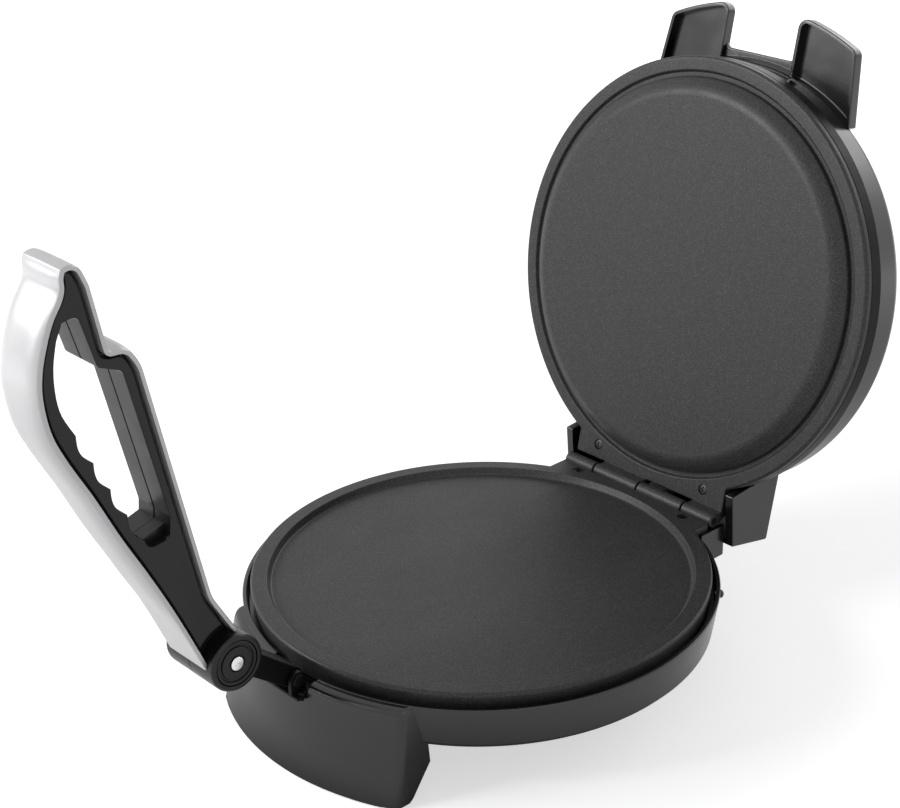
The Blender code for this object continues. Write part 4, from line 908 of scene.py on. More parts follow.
@dataclass
class Screws:
    """Cross-head screws, all of one head and thread, in several lengths."""

    head_radius: float = 0.003
    head_height: float = 0.0016
    shank_radius: float = 0.0014
    edge: float = 0.0005
    cross_reach: float = 0.0017
    cross_half: float = 0.00036
    cross_depth: float = 0.0009
    pitch: float = 0.0009
    thread: float = 0.00022

    def make(self, name: str, length: float, head_radius: float | None = None) -> Piece:
        """One screw with its head's top at the origin and its shank down -Z.

        Args:
            name: The screw's name.
            length: Its whole length.
            head_radius: Its head's radius, if not the usual one.

        Returns:
            The screw.
        """
        head = head_radius or self.head_radius
        root = self.shank_radius - self.thread
        profile: list[Point] = [(head / 4, 0), (head - self.edge * 2, -self.edge / 4)]
        profile += arc((head - self.edge, -self.edge * 1.25), self.edge, math.pi / 2.6, 0, 5)
        profile += [(head, -self.head_height), (self.shank_radius, -self.head_height)]
        depth = -self.head_height - self.pitch / 2
        while depth - self.pitch > -length + self.shank_radius:
            profile += [(root, depth), (self.shank_radius, depth - self.pitch / 2)]
            depth -= self.pitch
        profile += [(root, depth), (root, -length + root / 2), (root / 4, -length)]
        piece = Workbench.turned(name, profile, 32)
        reach, half = self.cross_reach, self.cross_half
        cross = [
            (reach, -half), (reach, half), (half, half), (half, reach), (-half, reach), (-half, half),
            (-reach, half), (-reach, -half), (-half, -half), (-half, -reach), (half, -reach), (half, -half),
        ]
        tool = Workbench.flat("cross", [cross], -self.cross_depth, self.cross_depth)
        return Workbench.work(piece, Cutting.CUT, tool)


@dataclass
class Hinge:
    """Sizes of the hinge that both plates share."""

    y: float = 0.1373
    z: float = -0.0005
    radius: float = 0.0044
    bore: float = 0.0023
    span: float = 0.061
    part_at: float = 0.037
    gap: float = 0.0006
    tab_rear: float = 0.1323
    tab_thickness: float = 0.006
    screw_x: float = 0.044
    boss_radius: float = 0.0045
    hole_radius: float = 0.0017
    seat_radius: float = 0.0033
    seat_depth: float = 0.0022
    edge: float = 0.0006

    def bore_tool(self) -> Piece:
        """The cutter of the pin's bore through every knuckle."""
        reach = self.span * 1.1
        return Workbench.cheek("bore", [circle((self.y, self.z), self.bore)], -reach, reach)

    def tab(self, plate_radius: float, inner: float, low: float, high: float) -> Piece:
        """The tab that runs from a plate's rim back to the knuckles.

        Args:
            plate_radius: The plate's radius.
            inner: The radius at which the tab starts, inside the rim.
            low: Its lower face.
            high: Its upper face.

        Returns:
            The tab.
        """
        lean = math.asin(self.span / inner)
        front = arc((0, 0), inner, math.pi / 2 - lean, math.pi / 2 + lean, 48)
        corners: list[Corner] = [(x, y, 0) for x, y in front]
        corners += [(-self.span, self.tab_rear, self.edge * 2), (self.span, self.tab_rear, self.edge * 2)]
        LOG.info("tab of the %.0f mm plate", plate_radius * 1000)
        return Workbench.flat("tab", [rounded(corners)], low, high, self.edge)


@dataclass
class LowerPlate:
    """The cast lower plate with its recess, skirt, tab and knuckles."""

    hinge: Hinge
    radius: float = 0.135
    rim: float = 0.010
    recess: float = 0.004
    slope: float = 0.002
    thickness: float = 0.005
    skirt_depth: float = 0.014
    skirt_wall: float = 0.004
    draft: float = 0.002
    hub: float = 0.03
    edge: float = 0.0009
    outer_edge: float = 0.0019
    screw_y: float = 0.1277

    def make(self) -> Piece:
        """The whole plate in the base's frame."""
        inner = self.radius - self.rim
        skirt = self.radius - self.draft
        back = -self.recess - self.thickness
        profile = rounded(
            [
                (self.hub, -self.recess, 0),
                (inner - self.slope, -self.recess, self.edge * 2),
                (inner, 0, self.edge),
                (self.radius, 0, self.outer_edge),
                (skirt, -self.skirt_depth, self.edge / 2),
                (skirt - self.skirt_wall, -self.skirt_depth, self.edge / 2),
                (skirt - self.skirt_wall, back, self.edge),
                (self.hub, back, 0),
            ],
            closed=False,
        )
        plate = Workbench.turned("lower_plate_fine", profile)
        hinge = self.hinge
        tab = hinge.tab(self.radius, inner + self.slope, -hinge.tab_thickness, 0)
        Workbench.work(plate, Cutting.JOIN, tab)
        for side in Side:
            x = side.value * hinge.screw_x
            boss = Workbench.flat(
                "boss", [circle((x, self.screw_y), hinge.boss_radius)], -self.skirt_depth, -self.edge
            )
            Workbench.work(plate, Cutting.JOIN, boss)
        front = hinge.tab_rear - hinge.radius
        meet = math.pi - math.asin(-hinge.z / hinge.radius)
        outline = [
            (front, -hinge.tab_thickness),
            (front, 0.0),
            *arc((hinge.y, hinge.z), hinge.radius, meet, -math.pi / 2, 32),
            (hinge.tab_rear, -hinge.tab_thickness),
        ]
        for low, high in ((-hinge.span, -hinge.part_at - hinge.gap), (hinge.gap, hinge.part_at - hinge.gap)):
            Workbench.work(plate, Cutting.JOIN, Workbench.cheek("knuckle", [outline], low, high, hinge.edge))
        tools = [hinge.bore_tool()]
        for side in Side:
            centre = (side.value * hinge.screw_x, self.screw_y)
            tools.append(Workbench.flat("hole", [circle(centre, hinge.hole_radius)], -self.radius, self.radius))
            seat = circle(centre, hinge.seat_radius)
            tools.append(Workbench.flat("seat", [seat], -hinge.seat_depth, hinge.seat_depth))
        return Workbench.work(plate, Cutting.CUT, *tools)


@dataclass
class BaseCase:
    """The glossy base shell with its front foot and rear box, and what closes it below."""

    hinge: Hinge
    radius: float = 0.1398
    draft: float = 0.0039
    top: float = -0.0072
    height: float = 0.0245
    wall: float = 0.0025
    edge: float = 0.0008
    ledge_top: float = -0.0143
    ledge_radius: float = 0.129
    flange: float = 0.0139
    foot_height: float = 0.0571
    foot_reach: float = 0.0152
    foot_half: float = 0.077
    foot_corner: float = 0.0075
    corner_share: float = 0.92
    sole_width: float = 0.008
    sole_edge: float = 0.0012
    foot_profile: tuple[Corner, ...] = (
        (0.0, 0.09, 0.925),
        (0.018, 0.26, 0.948),
        (0.055, 0.38, 0.958),
        (0.12, 0.45, 0.962),
        (0.31, 0.605, 0.972),
        (0.66, 0.80, 0.987),
        (1.0, 1.0, 1.0),
    )
    notch_half: float = 0.0185
    notch_depth: float = 0.0088
    notch_setback: float = 0.0053
    box_half: float = 0.064
    box_rear: float = 0.1442
    box_corner: float = 0.0015
    box_lift: float = 0.0068
    ear_drop: float = 0.0042
    rear_drop: float = 0.008
    overrun: float = 0.006
    gap: float = 0.0003
    cover_margin: float = 0.0004
    cover_screw_inset: float = 0.0075
    lens_angle: float = math.radians(39)
    lens_drop: float = 0.0033
    lens_radius: float = 0.002
    inlet_y: float = 0.134242
    inlet_z: float = -0.017
    inlet_radius: float = 0.0053

    @property
    def floor(self) -> float:
        """The shell's lowest level, without its foot."""
        return self.top - self.height

    @property
    def sole(self) -> float:
        """The front foot's lowest level."""
        return self.top - self.foot_height

    def radius_at(self, height: float) -> float:
        """The shell's outer radius at a height.

        Args:
            height: The height.

        Returns:
            The radius.
        """
        return self.radius - self.draft * (self.top - height) / self.height

    def foot_ring(self, height: float, outer: float, inner: float, half: float) -> list[tuple[float, ...]]:
        """The front foot's outline at one height.

        Args:
            height: The height.
            outer: The outer arc's radius.
            inner: The inner arc's radius.
            half: Half the foot's width.

        Returns:
            The outline's points.
        """
        corner = min(self.foot_corner, (outer - inner) * self.corner_share)
        spread = math.asin(half / outer)
        front = arc((0, 0), outer, -math.pi / 2 - spread, -math.pi / 2 + spread, 40)
        corners: list[Corner] = [(*front[0], corner)]
        corners += [(x, y, 0) for x, y in front[3:-3]]
        corners.append((*front[-1], corner))
        spread = math.asin(half / inner)
        corners += [(x, y, 0) for x, y in arc((0, 0), inner, -math.pi / 2 + spread, -math.pi / 2 - spread, 40)]
        return [(x, y, height) for x, y in rounded(corners, 8)]

    def foot(self) -> Piece:
        """The flared front foot, solid from its shoulder to its sole."""
        inner_low = self.radius_at(self.floor) - self.wall
        sole_inner = self.radius + self.foot_reach - self.sole_width
        turn_at = self.foot_profile[-2][0]
        rings = []
        for down, out, wide in smooth(list(self.foot_profile), 5):
            height = self.top - max(self.foot_height * down, self.gap)
            inner = inner_low + (sole_inner - inner_low) * max(0.0, (down - turn_at) / (1 - turn_at))
            if height > self.floor:
                inner = self.radius_at(height) - self.wall / 2
            outer = self.radius + self.foot_reach * out
            rings.append(self.foot_ring(height, outer, inner, self.foot_half * wide))
        rings.pop()
        outer = self.radius + self.foot_reach
        for turn in (0.0, 0.25, 0.5, 0.75, 1.0):
            lean = turn * math.pi / 2
            rise = self.sole_edge * (1 - math.sin(lean))
            draw = self.sole_edge * (1 - math.cos(lean))
            half = self.foot_half - draw
            rings.append(self.foot_ring(self.sole + rise, outer - draw, sole_inner + draw, half))
        return Workbench.loft("foot", rings)

    def rear_box(self) -> Piece:
        """The box below the hinge, cut to the round shell."""
        corner = self.box_corner
        outline = rounded(
            [
                (-self.box_half, 0, 0),
                (self.box_half, 0, 0),
                (self.box_half, self.box_rear, corner),
                (-self.box_half, self.box_rear, corner),
            ]
        )
        box = Workbench.flat("rear_box", [outline], self.floor + self.box_lift, -self.ear_drop, self.edge)
        middle = self.wall / 2
        flange = self.radius_at(self.floor) - self.flange
        inside = Workbench.turned(
            "inside",
            [
                (flange + middle, self.floor - self.overrun),
                (flange + middle, self.floor + middle),
                (self.radius_at(self.floor) - middle, self.floor + middle),
                (self.radius - middle, self.top),
                (self.radius - middle, self.overrun),
            ],
        )
        return Workbench.work(box, Cutting.CUT, inside)

    def shell(self) -> Piece:
        """The glossy moulding."""
        ledge_foot = self.ledge_top - self.wall
        edge = self.edge
        profile = rounded(
            [
                (self.radius, self.top, edge),
                (self.radius - self.wall, self.top, edge / 2),
                (self.radius_at(self.ledge_top) - self.wall, self.ledge_top, edge / 2),
                (self.ledge_radius, self.ledge_top, edge),
                (self.ledge_radius, ledge_foot, edge),
                (self.radius_at(ledge_foot) - self.wall, ledge_foot, edge),
                (self.radius_at(self.floor + self.wall) - self.wall, self.floor + self.wall, edge),
                (self.radius_at(self.floor) - self.flange, self.floor + self.wall, edge / 2),
                (self.radius_at(self.floor) - self.flange, self.floor, edge / 2),
                (self.radius_at(self.floor), self.floor, edge * 1.5),
            ]
        )
        shell = Workbench.turned("base_shell_fine", profile, closed=True)
        Workbench.work(shell, Cutting.JOIN, self.foot(), self.rear_box())
        inside_x = self.box_half - self.wall
        well = Workbench.block(
            "well",
            (-inside_x, 0, self.floor + self.box_lift + self.wall),
            (inside_x, self.box_rear - self.wall, self.overrun),
        )
        brow = Workbench.block(
            "brow", (-inside_x, 0, -self.rear_drop), (inside_x, self.box_rear + self.overrun, self.overrun)
        )
        notch = Workbench.block(
            "notch",
            (-self.notch_half, -self.radius - self.foot_reach - self.overrun, self.top - self.notch_depth),
            (self.notch_half, -self.radius + self.notch_setback, self.overrun),
        )
        Workbench.work(shell, Cutting.CUT, well, brow, notch)
        for side in Side:
            centre = (side.value * self.hinge.screw_x, 0.1277)
            boss = Workbench.flat(
                "boss", [circle(centre, self.hinge.boss_radius)], self.floor + self.wall / 2, self.ledge_top
            )
            Workbench.work(shell, Cutting.JOIN, boss)
        lens_hole = Workbench.flat("lens_hole", [circle((0, 0), self.lens_radius)], -self.overrun, self.overrun)
        Workbench.settle(lens_hole, self.lens_frame())
        inlet = Workbench.cheek(
            "inlet",
            [circle((self.inlet_y, self.inlet_z), self.inlet_radius)],
            -self.box_half - self.overrun,
            -self.box_half + self.overrun,
        )
        return Workbench.work(shell, Cutting.CUT, lens_hole, inlet)

    def lens_frame(self) -> Matrix:
        """The frame at the lens, with Z pointing out of the wall."""
        height = self.top - self.lens_drop
        radius = self.radius_at(height) - self.wall / 2
        place = (radius * math.cos(self.lens_angle), radius * math.sin(self.lens_angle), height)
        turn = Matrix.Rotation(self.lens_angle, 4, "Z") @ Matrix.Rotation(math.pi / 2, 4, "Y")
        return Matrix.Translation(place) @ turn

    def lens(self) -> Piece:
        """The domed lamp lens with its stem through the wall."""
        seat = self.wall / 2 + self.gap
        rim = self.lens_radius + 0.0005
        profile: list[Point] = [
            (self.lens_radius / 2, -seat),
            (self.lens_radius - self.gap, -seat),
            (self.lens_radius - self.gap, seat),
            (rim, seat),
        ]
        dome = arc((0, 0), 1, 0, math.pi / 2, 8)
        profile += [(max(rim * x, 0.0002), seat + self.lens_radius * y) for x, y in dome]
        return Workbench.settle(Workbench.turned("indicator_lens_fine", profile, 48), self.lens_frame())

    def grommet(self) -> Piece:
        """The cord inlet's grommet in the box's left wall, with ribs round its mouth."""
        stem = self.inlet_radius - self.gap
        flange = 0.007
        bore = 0.0035
        inside = -self.wall - self.gap - 0.006
        outside = self.gap + 0.002
        profile = rounded(
            [
                (bore, outside, 0.0006),
                (bore, inside, 0.0004),
                (stem, inside, 0.0004),
                (stem, self.gap, 0),
                (flange, self.gap, 0.0002),
                (flange, outside, 0.0008),
                (flange - 0.0012, outside, 0.0002),
                (flange - 0.0014, outside - 0.0005, 0.0001),
                (flange - 0.0019, outside - 0.0005, 0.0001),
                (flange - 0.0021, outside, 0.0002),
            ]
        )
        piece = Workbench.turned("cord_inlet_fine", profile, 64, closed=True)
        place = Matrix.Translation((-self.box_half, self.inlet_y, self.inlet_z))
        return Workbench.settle(piece, place @ Matrix.Rotation(-math.pi / 2, 4, "Y"))

    def cover(self) -> Piece:
        """The bottom cover with a ring of vents, a stiffening step and its screw holes."""
        radius = self.radius_at(self.floor) - self.wall - self.cover_margin
        top = self.floor - self.gap
        low = top - self.wall
        cover = Workbench.flat("bottom_cover_fine", [circle((0, 0), radius, 192)], low, top, self.edge / 2)
        tools = []
        slot_half = 0.0013
        for ring, count in ((0.048, 12), (0.066, 16)):
            for index in range(count):
                lean = math.tau * (index + 0.5) / count
                reach = 0.006
                outline = rounded(
                    [
                        (ring - reach, -slot_half, slot_half * 0.9),
                        (ring + reach, -slot_half, slot_half * 0.9),
                        (ring + reach, slot_half, slot_half * 0.9),
                        (ring - reach, slot_half, slot_half * 0.9),
                    ]
                )
                tool = Workbench.flat("vent", [outline], low - self.wall, low + self.wall / 3)
                tools.append(Workbench.settle(tool, Matrix.Rotation(lean, 4, "Z")))
        step = [circle((0, 0), radius - 0.014, 192), circle((0, 0), radius - 0.0155, 192)]
        tools.append(Workbench.flat("step", step, low - self.wall, low + self.wall / 3))
        for x, y in self.cover_screws():
            hole = [circle((x, y), self.hinge.hole_radius)]
            tools.append(Workbench.flat("hole", hole, low - self.overrun, top + self.overrun))
        return Workbench.work(cover, Cutting.CUT, *tools)

    def cover_screws(self) -> list[Point]:
        """The four places of the cover's screws."""
        radius = self.radius_at(self.floor) - self.wall - self.cover_screw_inset
        turns = [math.pi / 4 + math.pi / 2 * index for index in range(4)]
        return [(radius * math.cos(a), radius * math.sin(a)) for a in turns]


@dataclass
class RearFoot:
    """The hollow rear foot, its posts and the rubber pads of both feet."""

    half: float = 0.045
    y: float = 0.1105
    depth: float = 0.027
    corner: float = 0.006
    post_x: float = 0.018
    seat: float = 0.022
    pad_x: float = 0.034
    pad_radius: float = 0.006
    pad_sink: float = 0.0012
    pad_proud: float = 0.001
    front_pad_x: float = 0.058
    front_pad_length: float = 0.018
    front_pad_width: float = 0.005

    def make(self, case: BaseCase) -> Piece:
        """The foot's block with rounded edges, screw wells and pad seats.

        Args:
            case: The base, whose levels it fits between.

        Returns:
            The foot.
        """
        top = case.floor - case.gap - case.wall - case.gap
        deep = self.depth / 2
        outline = rounded(
            [
                (-self.half, self.y - deep, self.corner),
                (self.half, self.y - deep, self.corner),
                (self.half, self.y + deep, self.corner),
                (-self.half, self.y + deep, self.corner),
            ],
            8,
        )
        foot = Workbench.flat("rear_foot_fine", [outline], case.sole, top, case.edge)
        tools = []
        for side in Side:
            well = circle((side.value * self.post_x, self.y), case.hinge.seat_radius)
            tools.append(Workbench.flat("well", [well], case.sole - case.overrun, case.sole + self.seat))
            seat = circle((side.value * self.pad_x, self.y), self.pad_radius + case.gap)
            tools.append(Workbench.flat("seat", [seat], case.sole - case.overrun, case.sole + self.pad_sink))
        return Workbench.work(foot, Cutting.CUT, *tools)

    def rear_pad(self, side: Side, case: BaseCase) -> Piece:
        """One round pad.

        Args:
            side: Its side.
            case: The base.

        Returns:
            The pad.
        """
        low = case.sole - self.pad_proud
        high = case.sole + self.pad_sink - case.gap
        centre = (side.value * self.pad_x, self.y)
        outline = [circle(centre, self.pad_radius)]
        pad = Workbench.flat(f"rear_pad_{side.word}_fine", outline, low, high, self.pad_proud / 2)
        ring = [circle(centre, self.pad_radius * 0.62), circle(centre, self.pad_radius * 0.5)]
        groove = Workbench.flat("groove", ring, low - case.gap, low + case.gap)
        return Workbench.work(pad, Cutting.CUT, groove)

    def front_pad(self, side: Side, case: BaseCase) -> Piece:
        """One curved pad under the front foot.

        Args:
            side: Its side.
            case: The base.

        Returns:
            The pad.
        """
        low = case.sole - self.pad_proud
        high = case.sole + self.pad_sink - case.gap
        middle = case.radius + case.foot_reach - case.sole_width / 2
        centre = math.asin(side.value * self.front_pad_x / middle) - math.pi / 2
        half = self.front_pad_length / 2 / middle
        deep = self.front_pad_width / 2
        outer = arc((0, 0), middle + deep, centre - half, centre + half, 10)
        inner = arc((0, 0), middle - deep, centre + half, centre - half, 10)
        outline = outer + inner
        return Workbench.flat(f"front_pad_{side.word}_fine", [outline], low, high, self.pad_proud / 3)


@dataclass
class PivotBracket:
    """The folded bracket in the notch, with the link's pin."""

    y: float = -0.1465
    z: float = -0.0067
    inner_x: float = 0.0094
    outer_x: float = 0.0124
    flange: float = 0.0052
    cheek_radius: float = 0.005
    base: float = 0.0015
    bore: float = 0.0028
    pin_radius: float = 0.0025
    pin_head: float = 0.0038
    head_height: float = 0.0012
    edge: float = 0.0004

    def make(self, case: BaseCase) -> Piece:
        """The bracket.

        Args:
            case: The base, in whose notch it stands.

        Returns:
            The bracket.
        """
        low = case.top - case.notch_depth + case.gap
        high = low + self.base
        reach = self.outer_x + self.flange
        deep = self.cheek_radius
        bracket = Workbench.block(
            "pivot_bracket_fine", (-reach, self.y - deep, low), (reach, self.y + deep, high), self.edge
        )
        outline = arc((self.y, self.z), deep, 0, math.pi, 24)
        outline += [(self.y - deep, low + self.edge), (self.y + deep, low + self.edge)]
        for side in Side:
            ends = sorted((side.value * self.inner_x, side.value * self.outer_x))
            Workbench.work(bracket, Cutting.JOIN, Workbench.cheek("cheek", [outline], *ends, self.edge))
        bore = Workbench.cheek("bore", [circle((self.y, self.z), self.bore)], -reach, reach)
        tools = [bore]
        for side in Side:
            hole = circle((side.value * (self.outer_x + self.flange / 2), self.y), 0.0017)
            tools.append(Workbench.flat("hole", [hole], low - case.overrun, high + case.overrun))
        return Workbench.work(bracket, Cutting.CUT, *tools)

    def pin(self, case: BaseCase) -> Piece:
        """The link's pin with two domed heads.

        Args:
            case: The base, whose gap the heads keep.

        Returns:
            The pin.
        """
        half = self.outer_x + case.gap
        end = half + self.head_height
        profile = rounded(
            [
                (self.pin_head / 4, end, 0),
                (self.pin_head, end, self.head_height * 0.8),
                (self.pin_head, half, 0),
                (self.pin_radius, half, 0),
                (self.pin_radius, -half, 0),
                (self.pin_head, -half, 0),
                (self.pin_head, -end, self.head_height * 0.8),
                (self.pin_head / 4, -end, 0),
            ],
            closed=False,
        )
        piece = Workbench.turned("link_pin_fine", profile, 48)
        place = Matrix.Translation((0, self.y, self.z)) @ Matrix.Rotation(math.pi / 2, 4, "Y")
        return Workbench.settle(piece, place)


@dataclass
class UpperPlate:
    """The lid's cast plate, shut: raised pad, grooved rim, wall, spigot, tab and knuckles."""

    hinge: Hinge
    parting: float = 0.005
    radius: float = 0.1332
    wall_height: float = 0.014
    wall: float = 0.0035
    web: float = 0.004
    pad_radius: float = 0.121
    pad_raise: float = 0.0065
    shoulder: float = 0.0115
    shoulder_curve: tuple[Point, ...] = (
        (0.0, -0.30), (0.03, 0.05), (0.10, 0.24), (0.24, 0.45), (0.44, 0.70), (0.65, 0.88), (0.83, 0.97), (1.0, 1.0),
    )
    valley: float = 0.0038
    valley_floor: float = 0.0024
    spigot_radius: float = 0.1282
    spigot_wall: float = 0.0025
    spigot_height: float = 0.005
    hub: float = 0.03
    edge: float = 0.0009
    rim_edge: float = 0.0021
    groove_at: float = 0.0052
    groove_half: float = 0.0005
    groove_depth: float = 0.0006
    screw_y: float = 0.1234
    plate_thickness: float = 0.005
    crest_half: float = 0.07

    def make(self) -> Piece:
        """The whole plate in the shut lid's frame."""
        top = self.parting + self.wall_height
        pad_face = self.parting - self.pad_raise
        curve = smooth(list(reversed(self.shoulder_curve)), 4)
        pad = [(self.pad_radius - self.shoulder * x, self.parting - self.pad_raise * y) for x, y in curve]
        inner = self.radius - self.wall
        back = self.parting + self.web
        spigot_inner = self.spigot_radius - self.spigot_wall
        spigot_foot = top - self.spigot_wall
        half = self.groove_half
        groove = self.parting + self.groove_at
        corners: list[Corner] = [(self.hub, pad_face, 0)]
        corners += [(x, y, 0) for x, y in pad]
        corners += [
            (self.pad_radius + self.valley_floor, pad[-1][1], self.edge / 2),
            (self.pad_radius + self.valley, self.parting, self.edge),
            (self.radius, self.parting, self.rim_edge),
            (self.radius, groove - half, half / 2),
            (self.radius - self.groove_depth, groove - half / 2, half / 4),
            (self.radius - self.groove_depth, groove + half / 2, half / 4),
            (self.radius, groove + half, half / 2),
            (self.radius, top, self.edge / 2),
            (self.spigot_radius, top, 0),
            (self.spigot_radius, top + self.spigot_height, self.edge / 2),
            (spigot_inner, top + self.spigot_height, self.edge / 2),
            (spigot_inner, spigot_foot, 0),
            (inner, spigot_foot, 0),
            (inner, back, self.edge),
            (self.pad_radius, back, 0),
            (self.pad_radius - self.shoulder, pad_face + self.plate_thickness, 0),
            (self.hub, pad_face + self.plate_thickness, 0),
        ]
        plate = Workbench.turned("upper_plate_fine", rounded(corners, 5, closed=False))
        hinge = self.hinge
        tab_top = self.parting + hinge.tab_thickness
        tab = hinge.tab(self.radius, inner + self.edge, self.parting, tab_top)
        Workbench.work(plate, Cutting.JOIN, tab)
        for side in Side:
            centre = (side.value * hinge.screw_x, self.screw_y)
            boss = Workbench.flat("boss", [circle(centre, hinge.boss_radius)], tab_top - self.edge, top)
            Workbench.work(plate, Cutting.JOIN, boss)
        rear = hinge.tab_rear - 0.026
        crest = Workbench.block(
            "crest", (-self.crest_half, rear, top), (self.crest_half, hinge.y, top + 2 * self.spigot_height)
        )
        reach = hinge.span * 1.1
        trim = Workbench.block(
            "trim", (-reach, hinge.tab_rear, 0), (reach, hinge.tab_rear * 1.1, top + self.spigot_height)
        )
        Workbench.work(plate, Cutting.CUT, trim, crest)
        lean = math.radians(20)
        outline = [
            (hinge.tab_rear - hinge.tab_thickness, self.parting),
            (hinge.tab_rear - hinge.tab_thickness, tab_top),
            (hinge.y - hinge.radius / 2, tab_top),
            *arc((hinge.y, hinge.z), hinge.radius, lean, -math.pi - lean, 32),
            (hinge.tab_rear, self.parting),
        ]
        for low, high in ((-hinge.part_at + hinge.gap, -hinge.gap), (hinge.part_at + hinge.gap, hinge.span)):
            Workbench.work(plate, Cutting.JOIN, Workbench.cheek("knuckle", [outline], low, high, hinge.edge))
        tools = [hinge.bore_tool()]
        for side in Side:
            centre = (side.value * hinge.screw_x, self.screw_y)
            tools.append(Workbench.flat("hole", [circle(centre, hinge.hole_radius)], 0, top * 2))
            seat = circle(centre, hinge.seat_radius)
            tools.append(Workbench.flat("seat", [seat], 0, self.parting + hinge.seat_depth))
        Workbench.work(plate, Cutting.CUT, *tools)
        # The outer wall from the groove up is marked for painted shade.
        painted_shade_from = groove - half

        def on_wall(face: bpy.types.MeshPolygon) -> bool:
            """Whether a face belongs to the plate's outer wall, which gets painted shade: a near-black, metallic
            colour that stands in for the shade on that wall.
            """
            round_it = face.center.xy.length > self.spigot_radius and abs(face.normal.z) < 0.5
            return round_it and face.center.z > painted_shade_from

        return Workbench.mark(plate, PAINTED_SHADE_MARK, on_wall)


